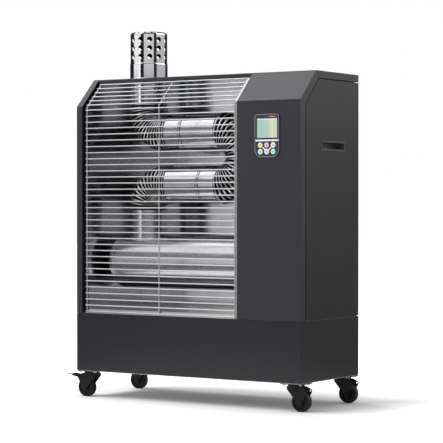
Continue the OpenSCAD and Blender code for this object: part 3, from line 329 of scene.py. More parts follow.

# %% [markdown]
# Two finishes differ. A rib's crest keeps a bright steel colour, while its valley is painted near
# black as shade, which lies deep in the narrow folds, so the bends blend two colours by an
# attribute that each vertex carries: how far out on its rib it lies. The grille's wire is plated
# with a pale, slightly milky coat, which is part mirror and part paint.

# %% Corrugated tube and plated wire
RIB = "rib"


def corrugated(name):
    steel = Finish(name)
    out = steel.add("ShaderNodeAttribute", {"attribute_name": RIB}, {}, "Fac")
    crest_out_of_painted_shade = out.step(0.55, 0.98)
    grain = steel.noise(60.0, 2.0)
    # Painted shade: the valleys are coloured near black and only the crests keep the steel's colour.
    colour = steel.blend(crest_out_of_painted_shade, grey(0.03), grey(0.86, STEEL_BLUISH))
    return steel.skin(colour, 0.5 - crest_out_of_painted_shade * 0.27 + grain * 0.04, metal=1.0)


def plated(name):
    wire = Finish(name)
    grain = wire.drawn_out((40.0, 300.0, 300.0), 2.0)
    colour = wire.blend(grain, grey(0.7), grey(0.8))
    return wire.skin(colour, 0.27 + grain * 0.08, (grain, 0.1, 0.0001), metal=0.78)


finish_of_slot["wire"] = plated("plated_wire")
bend_steel = corrugated("corrugated_steel")
for node in ("lower_elbow", "upper_elbow", "return_bend"):
    finish_of_node[node] = bend_steel
print("corrugated tube and plated wire")

# %% [markdown]
# Hot-dip zinc freezes in flat crystals, each with its own shade. A Voronoi texture gives every
# cell one colour, which is what the spangle on the deck and the bottom pan looks like.

# %% Zinc, copper and enamel
def zinc(name, level, cell):
    coat = Finish(name)
    spangle = coat.add("ShaderNodeTexVoronoi", {}, {"Vector": coat.place, "Scale": cell}, "Color")
    shade = coat.add("ShaderNodeSeparateColor", {}, {"Color": spangle}, "Red")
    colour = coat.blend(shade, grey(level * 0.8), grey(level * 1.15))
    return coat.skin(colour, 0.34 + shade * 0.16, (shade, 0.1, 0.0001), metal=0.9)


def enamel(name, colour, roughness=0.35):
    coat = Finish(name)
    cloud = coat.noise(60.0, 3.0)
    dark = tuple(c * 0.85 for c in colour)
    tint = coat.blend(cloud, (*dark, 1.0), (*colour, 1.0))
    rough = roughness * 0.8 + cloud * (roughness * 0.4)
    return coat.skin(tint, rough, (coat.noise(1400.0, 2.0), 0.2, 0.0001))


def copper_tube(name):
    tube = Finish(name)
    tone_share = tube.noise(45.0, 4.0)
    colour = tube.blend(tone_share, (0.62, 0.27, 0.15, 1.0), (0.86, 0.47, 0.3, 1.0))
    return tube.skin(colour, 0.2 + tone_share * 0.15, metal=1.0)


finish_of_slot["galvanised_sheet"] = zinc("galvanised_sheet", 0.5, 70.0)
finish_of_slot["bolt_zinc"] = zinc("bolt_zinc", 0.6, 400.0)
finish_of_slot["copper_line"] = copper_tube("copper_line")
finish_of_slot["motor_grey"] = enamel("motor_enamel", (0.04, 0.045, 0.05))
print("zinc, copper and enamel")

# %% [markdown]
# Moulded plastic carries the texture of its mould, and rubber scuffs to a greyer black. Both are
# near black here, so the grain matters more than the colour: it decides how wide the highlight
# along an edge is.

# %% Moulded plastic and rubber
def moulded(name, colour, roughness, grain=700.0, depth=0.00015, gloss=0.5):
    plastic = Finish(name)
    cloud = plastic.noise(30.0, 3.0)
    bright = tuple(c * 1.25 for c in colour)
    tint = plastic.blend(cloud, (*colour, 1.0), (*bright, 1.0))
    relief = (plastic.noise(grain, 2.0), 0.35, depth)
    return plastic.skin(tint, roughness - 0.05 + cloud * 0.1, relief, gloss=gloss)


def rubber(name):
    tread = Finish(name)
    scuff = tread.noise(160.0, 5.0).step(0.45, 0.75)
    tint = tread.blend(scuff, (0.006, 0.006, 0.007, 1.0), (0.018, 0.018, 0.017, 1.0))
    return tread.skin(tint, 0.55 + scuff * 0.25, (tread.noise(900.0, 3.0), 0.3, 0.0002), gloss=0.25)


gloss_black = moulded("gloss_black", (0.008, 0.008, 0.01), 0.1, 200.0, 0.00002)
finish_of_slot |= {
    "unit_black": gloss_black,
    "caster_black": moulded("caster_plastic", (0.005, 0.005, 0.006), 0.36, gloss=0.2),
    "grip_plastic": moulded("grip_plastic", (0.07, 0.07, 0.078), 0.3),
    "tank_plastic": moulded("tank_plastic", (0.02, 0.02, 0.02), 0.5, 300.0),
    "transformer_black": moulded("transformer_black", (0.014, 0.015, 0.02), 0.4),
    "board_green": moulded("board_green", (0.012, 0.11, 0.045), 0.3, 900.0),
    "cap_red": moulded("cap_red", (0.42, 0.015, 0.012), 0.32),
    "wheel_rubber": rubber("wheel_rubber"), "seal_rubber": rubber("seal_rubber"),
}
print("plastics and rubber")

# %% [markdown]
# Every node gets the finish of its material slot. Where a slot covers two real finishes, such as
# polished steel on a turned tube and on a corrugated one, the table by node comes first.

# %% Dress the nodes
def finish_for(node):
    return finish_of_node.get(node) or finish_of_slot.get(slot_of_node[node], gloss_black)


def dress(piece, material):
    piece.data.materials.clear()
    piece.data.materials.append(material)


for name, node in nodes.items():
    dress(node, finish_for(name))
print("dressed", len(nodes), "nodes")

# %% [markdown]
# ## From shape to piece
# Every new piece goes through one function. It takes a finished bmesh, shades it smooth with
# sharp edges where the faces meet steeply, gives it its finish, hangs it under an empty for the
# body that carries it, and hides the nodes it stands for. Points closer than two micrometres are merged
# first.

# %% Helpers that finish a shape and hand it over
STEEP = math.radians(21)
TINY = 0.002 * MM


def merge(bm, distance=TINY):
    bmesh.ops.remove_doubles(bm, verts=bm.verts, dist=distance)


def mesh_of(name, bm):
    mesh = bpy.data.meshes.new(name)
    bm.to_mesh(mesh)
    bm.free()
    return mesh


def put(name, data):
    """Puts a new object into the scene."""
    thing = bpy.data.objects.new(name, data)
    bpy.context.scene.collection.objects.link(thing)
    return thing


def make_piece(name, bm, body, slot, material, *stands_for, steep=STEEP):
    merge(bm)
    mesh = mesh_of(name, bm)
    mesh.shade_smooth()
    mesh.set_sharp_from_angle(angle=steep)
    piece = put(name, mesh)
    dress(piece, material)
    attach(piece, body)
    if stands_for:
        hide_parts(*stands_for)
    print(name, len(mesh.polygons), "faces")
    return piece


def stand_in(name, bm, node, material=None, steep=STEEP):
    """Makes a piece that takes its body and finish from the node it stands for."""
    return make_piece(name, bm, body_of_node[node], slot_of_node[node],
                      material or finish_for(node), node, steep=steep)


print("edges steeper than", round(math.degrees(STEEP)), "degrees stay sharp")


# %% [markdown]
# ## Rounded edges
# A press brake can't fold a sharp corner: the sheet keeps a small radius, and that radius is what
# catches the light. The frame's solids are sharp. So a node is copied, its loose triangles are
# merged into whole faces again, and its long edges are bevelled. Flat faces stay flat, because
# the bevel's narrow strips meet them at more than the small smoothing angle used here.

# %% Round the edges of sheet metal and mouldings
FLAT = math.radians(0.5)
STRIP = math.radians(8)
FOLDED = math.radians(40)


def merged_copy(node):
    bm = bmesh.new()
    bm.from_mesh(nodes[node].data)
    merge(bm)
    return bm


def soften(node, radius, shortest=3 * MM):
    bm = merged_copy(node)
    bmesh.ops.dissolve_limit(bm, angle_limit=FLAT, verts=bm.verts, edges=bm.edges)
    edges = [e for e in bm.edges if e.is_manifold and e.calc_length() > shortest
             and e.calc_face_angle() > FOLDED]
    bmesh.ops.bevel(bm, geom=edges, offset=radius, offset_type="OFFSET", segments=2,
                    affect="EDGES", profile=0.5, material=-1, clamp_overlap=True)
    return stand_in(node + "_rounded", bm, node, steep=STRIP)


sheet_metal = ["roof_panel", "control_cover", "base_box", "base_pan", "left_front_post",
               "left_side_panel", "right_side_panel", "rear_panel", "partition_wall", "base_deck"]
for node in sheet_metal:
    soften(node, 0.5 * MM)

# %% [markdown]
# ## Turned parts
# Pipes, drum and collar are round about an axis, so each is half an outline spun once around it.
# The outline runs along the outside and back along the inside, which gives the wall its real
# thickness. Spin leaves the faces pointing either way, so they are recalculated afterwards.

# %% A lathe, and the shapes that outlines are made of
def face_outwards(bm):
    bmesh.ops.recalc_face_normals(bm, faces=bm.faces)


def full_turn(bm, geom, centre, axis, steps):
    bmesh.ops.spin(bm, geom=geom, cent=centre, axis=axis, angle=math.tau, steps=steps, use_merge=True)


def lathe(bm, outline, base, axis, steps=96, closed=True):
    """Spins an outline of (distance along the axis, radius) points."""
    axis = Vector(axis)
    side = axis.orthogonal().normalized()
    points = [bm.verts.new(base + axis * along + side * radius) for along, radius in outline]
    pairs = list(zip(points, points[1:] + points[:1] if closed else points[1:]))
    edges = [bm.edges.new(pair) for pair in pairs]
    full_turn(bm, points + edges, base, axis, steps)
    merge(bm)
    face_outwards(bm)


def bow(middle_along, radius, half_width, height, steps=6):
    """Points of a half round ridge on an outline that runs forwards."""
    angles = [math.pi * (1 - i / steps) for i in range(steps + 1)]
    return [(middle_along + half_width * math.cos(a), radius + height * math.sin(a)) for a in angles]


def turned_piece(node, outline, base, axis, material=None):
    bm = bmesh.new()
    lathe(bm, outline, base, axis)
    return stand_in(node + "_turned", bm, node, material)


print("the lathe is ready")


# %% [markdown]
# Each straight pipe has one raised bead, where a short end is lapped over the long one. The light
# stripe along the pipe breaks there, which shows that the tube is in two lengths.

# %% The two straight pipes
RIGHT = Vector((1, 0, 0))
STEEL_WALL = 1.5 * MM


def lapped(name, bead_at):
    """Polished tube with a thin painted shadow on both sides of its bead, where the lapped edges shade
    it.
    """
    steel = Finish(name)
    x = steel.along("X") - bead_at
    lines = steel.drawn_out(ALONG_X)
    # Painted shadow: a thin dark line on each side of the bead, where the lapped edges shade the tube.
    joint_shadow = between(x, -5.5 * MM, -3.5 * MM).most(between(x, 1.5 * MM, 4.0 * MM))
    colour = steel.blend(lines, grey(0.63, STEEL_BLUISH), grey(0.67, STEEL_BLUISH))
    return steel.skin(steel.blend(joint_shadow, colour, grey(0.08)), 0.15 + lines * 0.03 + joint_shadow * 0.2,
                      (lines, 0.02, 0.0001), metal=1.0)


def straight_pipe(node, bead_at):
    low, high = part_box(node)
    axle = Vector((0, middle(node).y, middle(node).z))
    lip = 0.4 * MM
    outline = [(low.x, pipe_radius - lip), (low.x + lip, pipe_radius),
               *bow(bead_at - 2.2 * MM, pipe_radius, 1.6 * MM, 1.1 * MM),
               *bow(bead_at + 1.2 * MM, pipe_radius, 0.8 * MM, 0.5 * MM),
               (high.x - lip, pipe_radius), (high.x, pipe_radius - lip),
               (high.x, pipe_radius - STEEL_WALL), (low.x, pipe_radius - STEEL_WALL)]
    turned_piece(node, outline, axle, RIGHT, lapped(node + "_finish", bead_at))


straight_pipe("middle_pipe", pipe_right - 49.5 * MM)
straight_pipe("upper_pipe", pipe_left + 50 * MM)

# %% [markdown]
# ## Corrugated bends
# The bends are convoluted tube: round ribs rolled into a wall that can then be bent. In a bend the
# ribs fan out, almost closed on the inside and wide open on the outside. Sweeping a ribbed
# profile along a curve would do it, and so does one ring that is spun a few degrees at a time and
# widened or narrowed after every step. The second way needs no curve, and the rings stay
# true circles.

# %% A ring that leaves a ribbed tube behind it
RING_SIDES = 72
VALLEY = 45.3 * MM
rib_outline = [(0.14, 0.08), (0.24, 0.45), (0.32, 0.85), (0.42, 1.0), (0.58, 1.0), (0.68, 0.85),
               (0.76, 0.45), (0.86, 0.08), (1.0, 0.0)]


def verts_in(geom):
    return [g for g in geom if isinstance(g, bmesh.types.BMVert)]


class Bellows:
    """A ring that travels forwards and leaves a ribbed tube behind it."""

    def __init__(self, start, heading):
        self.bm = bmesh.new()
        self.centre = Vector(start)
        self.heading = Vector(heading)
        turn = self.heading.to_track_quat("Z", "Y").to_matrix().to_4x4()
        made = bmesh.ops.create_circle(self.bm, cap_ends=False, segments=RING_SIDES, radius=VALLEY,
                                       matrix=Matrix.Translation(self.centre) @ turn)
        self.radius = VALLEY
        self.ring = list({e for v in made["verts"] for e in v.link_edges})
        self.height = self.bm.verts.layers.float.new(RIB)

    def resize(self, made, radius):
        """Takes the newest ring and widens it about its own centre."""
        verts = verts_in(made)
        self.ring = [g for g in made if isinstance(g, bmesh.types.BMEdge)]
        bmesh.ops.scale(self.bm, vec=Vector((1, 1, 1)) * (radius / self.radius), verts=verts,
                        space=Matrix.Translation(-self.centre))
        self.radius = radius
        for vert in verts:
            vert[self.height] = (radius - VALLEY) / (rib_radius - VALLEY)

    def push(self, distance, radius):
        """Draws the ring out straight ahead."""
        made = bmesh.ops.extrude_edge_only(self.bm, edges=self.ring)["geom"]
        bmesh.ops.translate(self.bm, vec=self.heading * distance, verts=verts_in(made))
        self.centre += self.heading * distance
        self.resize(made, radius)

    def swing(self, pivot, axis, angle, radius):
        """Turns the ring about a pivot beside it."""
        turn = Matrix.Rotation(angle, 3, axis)
        ring_verts = list({v for e in self.ring for v in e.verts})
        made = bmesh.ops.spin(self.bm, geom=self.ring + ring_verts, cent=pivot, axis=axis,
                              angle=angle, steps=1)["geom_last"]
        self.centre = pivot + turn @ (self.centre - pivot)
        self.heading = turn @ self.heading
        self.resize(made, radius)

    def straight(self, length, ribs):
        pitch = length / ribs
        self.ribbed(ribs, lambda share, radius: self.push(pitch * share, radius))

    def bend(self, pivot, axis, angle, ribs):
        turn = angle / ribs
        self.ribbed(ribs, lambda share, radius: self.swing(pivot, axis, turn * share, radius))

    def ribbed(self, ribs, advance):
        for _ in range(ribs):
            reached = 0.0
            for share, height in rib_outline:
                advance(share - reached, VALLEY + (rib_radius - VALLEY) * height)
                reached = share

    def close(self, node):
        face_outwards(self.bm)
        bmesh.ops.solidify(self.bm, geom=self.bm.faces, thickness=1.0 * MM)
        stand_in(node + "_ribbed", self.bm, node)


print(len(rib_outline), "rings make a rib of", round((rib_radius - VALLEY) / MM, 1), "mm")

# %% [markdown]
# Both elbows turn a quarter between upright and level. The lower one is tighter and leads from the
# drum's neck to the middle pipe, and the upper one leads from the upper pipe to the flue.

# %% The two elbows
UP = Vector((0, 0, 1))


def elbow(node, start, heading, pivot, runs, ribs):
    """A quarter turn about +Y between two straight runs of (length, ribs)."""
    tube = Bellows(start, heading)
    tube.straight(*runs[0])
    tube.bend(pivot, Vector((0, 1, 0)), math.pi / 2, ribs)
    tube.straight(*runs[1])
    tube.close(node)


elbow("lower_elbow", (flue.x, flue.y, neck_top), UP,
      Vector((flue.x + LOW_BEND, flue.y, low_pipe.z - LOW_BEND)), ((neck_run, 1), (low_run, 3)), 10)
elbow("upper_elbow", (pipe_left, flue.y, top_pipe.z), -RIGHT,
      Vector((flue.x + TOP_BEND, flue.y, top_pipe.z + TOP_BEND)), ((top_run, 2), (top_run, 2)), 12)

# %% [markdown]
# The bend that leads the gas back from the middle pipe to the upper one is half a turn. It has no
# straight run: its ribs start where the pipes end.

# %% The return bend
tube = Bellows((pipe_right, flue.y, low_pipe.z), RIGHT)
tube.bend(Vector((pipe_right, flue.y, low_pipe.z + return_bend)), Vector((0, -1, 0)), math.pi, 22)
tube.close("return_bend")

# %% [markdown]
# ## Drum and neck
# The drum is a shell with a pressed end, and the neck is a stub cut to the drum's curve and welded
# on. The end's rounded edge and the seam behind it catch a thin line of light. Both are turned.
# The saddle cut needs no cutting: the stub runs on into the drum, and the weld hides where they
# meet.

# %% The drum and its neck
DRUM_RADIUS = 71 * MM
NECK_RADIUS = 45 * MM
END_ROUND = 8 * MM
drum_low, drum_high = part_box("combustion_drum")
drum_axle = Vector((0, middle("combustion_drum").y, middle("combustion_drum").z))
flange_radius = (drum_high.z - drum_low.z) / 2
flange_at = drum_high.x - 3 * MM


def quarter(along, radius, bend, steps=8):
    """The rounded edge of an end that faces backwards on the outline."""
    angles = [math.pi / 2 * i / steps for i in range(steps + 1)]
    return [(along + bend * (1 - math.cos(a)), radius - bend * (1 - math.sin(a))) for a in angles]


inner_end = drum_low.x + STEEL_WALL
inner_radius = DRUM_RADIUS - STEEL_WALL
drum = bmesh.new()
lathe(drum, [
    (drum_low.x, 0.0), *quarter(drum_low.x, DRUM_RADIUS, END_ROUND),
    *bow(drum_low.x + 13 * MM, DRUM_RADIUS, 1.4 * MM, 0.7 * MM),
    (flange_at, DRUM_RADIUS), (flange_at, flange_radius), (drum_high.x, flange_radius),
    (drum_high.x, inner_radius), *reversed(quarter(inner_end, inner_radius, END_ROUND - STEEL_WALL)),
    (inner_end, 0.0),
], drum_axle, RIGHT, closed=False)
stand_in("combustion_drum_turned", drum, "combustion_drum")
flue_foot = Vector((flue.x, flue.y, 0))
neck_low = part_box("drum_neck")[0].z
neck_inner = NECK_RADIUS - STEEL_WALL
sleeve_low = neck_top - 3 * MM
turned_piece("drum_neck", [
    (neck_low, NECK_RADIUS), (sleeve_low, NECK_RADIUS), (sleeve_low, pipe_radius),
    (neck_top, pipe_radius), (neck_top, neck_inner), (neck_low, neck_inner),
], flue_foot, UP)

# %% [markdown]
# A weld by hand is never even: the bead swells and shrinks as the torch moves on. A thin ring is
# spun round the neck, its thickness is rippled with two waves that never meet at the same place,
# and then each point is dropped onto the drum.

# %% The weld between drum and neck
def weld(name, ring_radius, thickness):
    bm = bmesh.new()
    start = Matrix.Translation(flue_foot + RIGHT * ring_radius) @ Matrix.Rotation(math.pi / 2, 4, "X")
    bmesh.ops.create_circle(bm, cap_ends=False, segments=10, radius=thickness, matrix=start)
    full_turn(bm, bm.verts[:] + bm.edges[:], flue_foot, UP, 180)
    for vert in bm.verts:
        outward = vert.co - flue_foot
        angle = math.atan2(outward.y, outward.x)
        core = flue_foot + Vector((math.cos(angle), math.sin(angle), 0)) * ring_radius
        swell = 1 + 0.22 * math.sin(53 * angle) + 0.16 * math.sin(31 * angle + 1)
        vert.co = core + (vert.co - core) * swell
        vert.co.z += drum_axle.z + math.sqrt(DRUM_RADIUS ** 2 - (core.y - drum_axle.y) ** 2)
    face_outwards(bm)
    make_piece(name, bm, "root", "satin_steel", weld_steel)


weld("neck_weld", NECK_RADIUS + 0.6 * MM, 2.0 * MM)

# %% [markdown]
# ## Flue
# The pipe goes up through the roof into a collar, and a cap sits in it by a spigot. The cap is
# punched while it is flat sheet and then rolled, so it is made that way here: one cell is a ring of
# points round a hole, drawn out to a rectangle. Copies of the cell make the sheet, and rolling
# moves each point from the plane to the cylinder. Cutting holes into a finished cylinder would
# leave long thin triangles, which shade badly on the curve.

# %% Pipe and collar of the flue
SLIP = 0.3 * MM
COLLAR_RADIUS = 50 * MM
FOOT = 1.5 * MM
flue_low, flue_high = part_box("flue_pipe")
pipe_inner = pipe_radius - STEEL_WALL
turned_piece("flue_pipe", [
    (flue_low.z, pipe_radius - SLIP), (flue_high.z, pipe_radius - SLIP),
    (flue_high.z, pipe_inner), (flue_low.z, pipe_inner),
], flue_foot, UP)
collar_low, collar_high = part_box("flue_collar")
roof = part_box("roof_panel")[1].z
lip_radius = (collar_high.x - collar_low.x) / 2
bore = pipe_radius - SLIP + 0.05 * MM
ring_high = collar_low.z + 3 * MM
lip = [(3.0, 0.0), (2.6, 0.0), (1.2, 0.3), (0.4, 0.7), (0.0, 1.1)]
turned_piece("flue_collar", [
    (collar_low.z, lip_radius), (ring_high, lip_radius), (ring_high, COLLAR_RADIUS - 0.5 * MM),
    (roof, COLLAR_RADIUS - 0.5 * MM), (roof, lip_radius), (roof + FOOT / 2, lip_radius),
    (roof + FOOT, lip_radius - FOOT / 2), (roof + FOOT, COLLAR_RADIUS),
    *[(collar_high.z - down * MM, COLLAR_RADIUS - inward * MM) for down, inward in lip],
    (collar_high.z, bore), (collar_low.z, bore),
], flue_foot, UP)

# %% [markdown]
# The cap's wall has three rows of holes, and its rounded shoulder has one row of small ones. Both
# are punched by the same function, and the wall is drawn out past its rows by plain margins.

# %% Punched sheet
def punched_sheet(columns, rows, width, height, hole, sides):
    """Flat sheet with a hole in the middle of each cell, and its lower left cell at the origin."""
    bm = bmesh.new()
    rim = bmesh.ops.create_circle(bm, cap_ends=False, segments=sides, radius=hole)["verts"]
    made = bmesh.ops.extrude_edge_only(bm, edges=bm.edges[:])["geom"]
    for vert in verts_in(made):
        reach = max(abs(vert.co.x), abs(vert.co.y))
        vert.co = Vector((vert.co.x / reach * width / 2, vert.co.y / reach * height / 2, 0))
    spokes = [e for e in bm.edges if (e.verts[0] in rim) != (e.verts[1] in rim)]
    bmesh.ops.subdivide_edges(bm, edges=spokes, cuts=3, use_grid_fill=True)
    cell = bm.verts[:] + bm.edges[:] + bm.faces[:]
    for column in range(columns):
        for row in range(rows):
            if column or row:
                copy = bmesh.ops.duplicate(bm, geom=cell)["geom"]
                bmesh.ops.translate(bm, vec=(column * width, row * height, 0), verts=verts_in(copy))
    merge(bm)
    return bm


def margin(bm, edge_at, width):
    """Draws the sheet out past one of its level edges."""
    edges = [e for e in bm.edges if e.is_boundary
             and all(abs(v.co.y - edge_at) < 0.01 * MM for v in e.verts)]
    made = bmesh.ops.extrude_edge_only(bm, edges=edges)["geom"]
    bmesh.ops.translate(bm, vec=(0, width, 0), verts=verts_in(made))


PITCH = 22.5 * MM
SHOULDER = 7 * MM
cap_low, cap_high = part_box("flue_cap")
first_row = collar_high.z + 17 * MM
wall_low = first_row - PITCH / 2
wall = punched_sheet(12, 3, math.tau * pipe_radius / 12, PITCH, 7 * MM, 32)
margin(wall, -PITCH / 2, collar_high.z - wall_low)
margin(wall, 2.5 * PITCH, cap_high.z - SHOULDER - wall_low - 3 * PITCH)
arc_length = SHOULDER * math.pi / 2
shoulder = punched_sheet(16, 1, math.tau * pipe_radius / 16, arc_length, 2.4 * MM, 24)
print("36 holes in the wall and 16 in the shoulder")

# %% [markdown]
# Rolling needs two things for each point: the angle, which follows from the way along the sheet,
# and the radius and height, which follow from the way up it. On the wall the radius stays the
# same, and on the shoulder both run along a quarter circle.

# %% Roll the sheets
def rolled(bm, phase, outline):
    """Rolls the sheet: outline gives the radius and the height for a distance up the sheet."""
    for vert in bm.verts:
        radius, height = outline(vert.co.y)
        angle = vert.co.x / pipe_radius + phase
        vert.co = flue_foot + Vector((radius * math.cos(angle), radius * math.sin(angle), height))
    merge(bm, 5 * TINY)


def on_shoulder(along):
    angle = along / SHOULDER
    return (pipe_radius - SHOULDER * (1 - math.cos(angle)),
            cap_high.z - SHOULDER * (1 - math.sin(angle)))


rolled(wall, math.radians(8), lambda along: (pipe_radius, first_row + along))
rolled(shoulder, 0.0, lambda along: on_shoulder(along + arc_length / 2))
crown = [e for e in shoulder.edges if e.is_boundary
         and all(cap_high.z - v.co.z < 0.02 * MM for v in e.verts)]
bmesh.ops.edgeloop_fill(shoulder, edges=crown)
print("wall and shoulder rolled to a radius of", round(pipe_radius / MM, 1), "mm")

# %% [markdown]
# Wall and shoulder become one skin and get their thickness. The spigot is a turned ring inside it.
# The outside of the cap is polished, and behind the holes it is painted near black as shade, which
# makes the holes read as dark: the finish tells the two apart by the distance to the flue's axis.

# %% Join the cap and paint shade inside it
CAP_WALL = 1.2 * MM


def join(whole, part):
    """Adds the shape of one bmesh to another."""
    mesh = mesh_of("joined", part)
    whole.from_mesh(mesh)
    bpy.data.meshes.remove(mesh)


def shaded_inside_cap(name):
    """Polished outside, and painted near black inside the wall as shade."""
    steel = Finish(name)
    away = steel.away_from(flue_foot, (1, 1, 0))
    lines = steel.drawn_out(ALONG_Z)
    low_down = 1 - steel.along("Z").step(cap_high.z - 4 * MM, cap_high.z - 2 * MM)
    # Painted shade: the inside of the wall below the crown is coloured near black, so the holes read as
    # dark.
    painted_inside_shade = (1 - away.step(pipe_radius - 1.1 * MM, pipe_radius - 0.3 * MM)) * low_down
    tint = steel.blend(painted_inside_shade, steel.blend(lines, grey(0.74), grey(0.8)), grey(0.02))
    return steel.skin(tint, 0.08 + painted_inside_shade * 0.5 + lines * 0.04, (lines, 0.04, 0.00015), metal=1.0)


join(wall, shoulder)
face_outwards(wall)
bmesh.ops.solidify(wall, geom=wall.faces, thickness=CAP_WALL)
spigot = bmesh.new()
spigot_radius = pipe_inner - SLIP
ledge = collar_high.z + CAP_WALL
lathe(spigot, [
    (cap_low.z, spigot_radius), (collar_high.z, spigot_radius), (collar_high.z, pipe_radius),
    (ledge, pipe_radius - 0.1 * MM), (ledge, spigot_radius - CAP_WALL),
    (cap_low.z, spigot_radius - CAP_WALL),
], flue_foot, UP)
join(wall, spigot)
stand_in("flue_cap_rolled", wall, "flue_cap", shaded_inside_cap("cap_painted_inside_shade"))

# %% [markdown]
# ## Smooth copies
# The remaining round parts keep the frame's shape. Their facets are merged and shaded as one
# surface: the grille's wires, the casters and the parts of the burner.

# %% Shade the other round parts
round_parts = ["wire_grille", "caster_bolts", "filler_neck", "filler_plug", "filler_cap",
               "fuel_pump", "fuel_line", "burner_tube", "blower_housing", "blower_motor",
               "fan_wheel", "panel_screws", "brake_front_left", "brake_rear_left"]
for node in round_parts:
    stand_in(node + "_smooth", merged_copy(node), node)
for node in ["caster_plates", "grip_cups", "power_inlet", "ignition_transformer", "fuel_tank"]:
    soften(node, 0.6 * MM)
corners = ["front_left", "front_right", "rear_left", "rear_right"]
for corner in corners:
    soften("fork_" + corner, 0.5 * MM, 5 * MM)

# %% [markdown]
# ## Casters
# A wheel has a rounded tread, a sunk web and a hub. The tread is turned with a softer edge than the
# frame's, since that edge is all that shows under the fork.

# %% Wheels
AXLE_BORE = 4.1 * MM
HUB = 9 * MM


def wheel(node):
    """Turns half of the outline and its mirror image. The tread goes by how far in and down it is."""
    low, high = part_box(node)
    hub_half = (high.y - low.y) / 2
    half = hub_half - 1 * MM
    radius = (high.z - low.z) / 2
    tread = [(3, 8), (0, 6.5), (0, 3), (0.6, 1.4), (1.7, 0.4), (3.2, 0)]
    side = [(hub_half, AXLE_BORE), (hub_half, HUB), (half - 3 * MM, HUB)]
    side += [(half - inward * MM, radius - down * MM) for inward, down in tread]
    mirrored = [(-along, away) for along, away in reversed(side)]
    bm = bmesh.new()
    lathe(bm, side + mirrored, middle(node), (0, 1, 0), 64)
    stand_in(node + "_turned", bm, node)


for corner in corners:
    wheel("wheel_" + corner)

# %% [markdown]
# ## Display unit
# The unit's face is one moulding with printed areas: a silver rim, a white line under the window,
# and white links between the buttons. Prints have no thickness, so they are masks in the finish,
# each a product of soft steps along x and z. The rim is the only raised part, so the depth of the
# surface tells it apart. What may be lettering in the photo is left out.

# %% The printed face
unit_low, unit_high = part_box("display_bezel")
lcd_low, lcd_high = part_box("lcd_window")
INK = (0.006, 0.006, 0.009, 1.0)
LINE_WHITE = (0.8, 0.8, 0.88, 1.0)


def printed_face(name):
    face = Finish(name)
    x = face.along("X") - (unit_low.x + unit_high.x) / 2
    y = face.along("Y") - unit_low.y
    z = face.along("Z")
    spread = x.size()
    front = 1 - y.step(0.6 * MM, 0.9 * MM)
    rim = 1 - y.step(0.15 * MM, 0.35 * MM)
    line = between(z - lcd_low.z, -8.4 * MM, -4.2 * MM) * below(spread, 33 * MM)
    cup = between(z - lcd_low.z - spread * 0.75, -35 * MM, -31 * MM) * below(spread, 13 * MM)
    lamp = between(z - lcd_high.z, 3.2 * MM, 5.6 * MM)
    blue = lamp * between(x, -8 * MM, -1 * MM, 1.5 * MM)
    warm = lamp * between(x, 6 * MM, 24 * MM, 4 * MM)
    dust = face.noise(420.0, 2.0)
    tint = face.blend(line.most(cup) * front, INK, LINE_WHITE)
    tint = face.blend(blue * front, tint, (0.03, 0.06, 0.2, 1.0))
    tint = face.blend(warm * front, tint, (0.55, 0.24, 0.2, 1.0))
    tint = face.blend(rim, tint, (0.2, 0.2, 0.23, 1.0))
    return face.skin(tint, 0.16 + rim * 0.14 + dust * 0.05, (dust, 0.05, 0.00005))


finish_of_node["display_bezel"] = printed_face("unit_face")
soften("display_bezel", 0.35 * MM)

# %% [markdown]
# The window is clear plastic over a pale, greenish liquid crystal. A warm reflection of the room is
# painted in towards the right, pale painted highlights run along its right and top edges, and painted
# shade darkens its left edge.

# %% The window
def screen(name):
    glass = Finish(name)
    across = (glass.along("X") - lcd_low.x) / (lcd_high.x - lcd_low.x)
    up = (glass.along("Z") - lcd_low.z) / (lcd_high.z - lcd_low.z)
    cloud = glass.noise(40.0, 2.0)
    # Painted light: a warm painted reflection towards the right, painted highlights on the right and top
    # edges, and painted shade on the left edge.
    tint = glass.blend(between(across + cloud * 0.1, 0.66, 0.94, 0.16), (0.36, 0.53, 0.49, 1.0),
                       (0.6, 0.64, 0.43, 1.0))
    tint = glass.blend(across.step(0.9, 0.97), tint, (0.62, 0.63, 0.6, 1.0))
    tint = glass.blend(up.step(0.9, 0.97), tint, (0.72, 0.74, 0.7, 1.0))
    tint = glass.blend((1 - across.step(0.02, 0.06)) * 0.7, tint, (0.2, 0.27, 0.26, 1.0))
    return glass.skin(tint, 0.12 + cloud * 0.08)


finish_of_node["lcd_window"] = screen("lcd_screen")
soften("lcd_window", 0.3 * MM)

# %% [markdown]
# A button's cap is slightly domed, and carries a coloured ring and a coloured middle. Its finish
# follows from the distance to its own axis, so a single function colours all six.

# %% Push buttons
def ringed(name, axis_point, core, ring, edge):
    cap = Finish(name)
    away = cap.away_from((axis_point.x, 0, axis_point.z), (1, 0, 1))
    grain = cap.noise(500.0, 2.0)
    tint = cap.blend((away + grain * 0.0006).step(1.6 * MM, 3.0 * MM), (*core, 1.0), (*ring, 1.0))
    tint = cap.blend(away.step(5.4 * MM, 6.4 * MM), tint, (*edge, 1.0))
    return cap.skin(tint, 0.22 + grain * 0.1, (grain, 0.05, 0.00005))


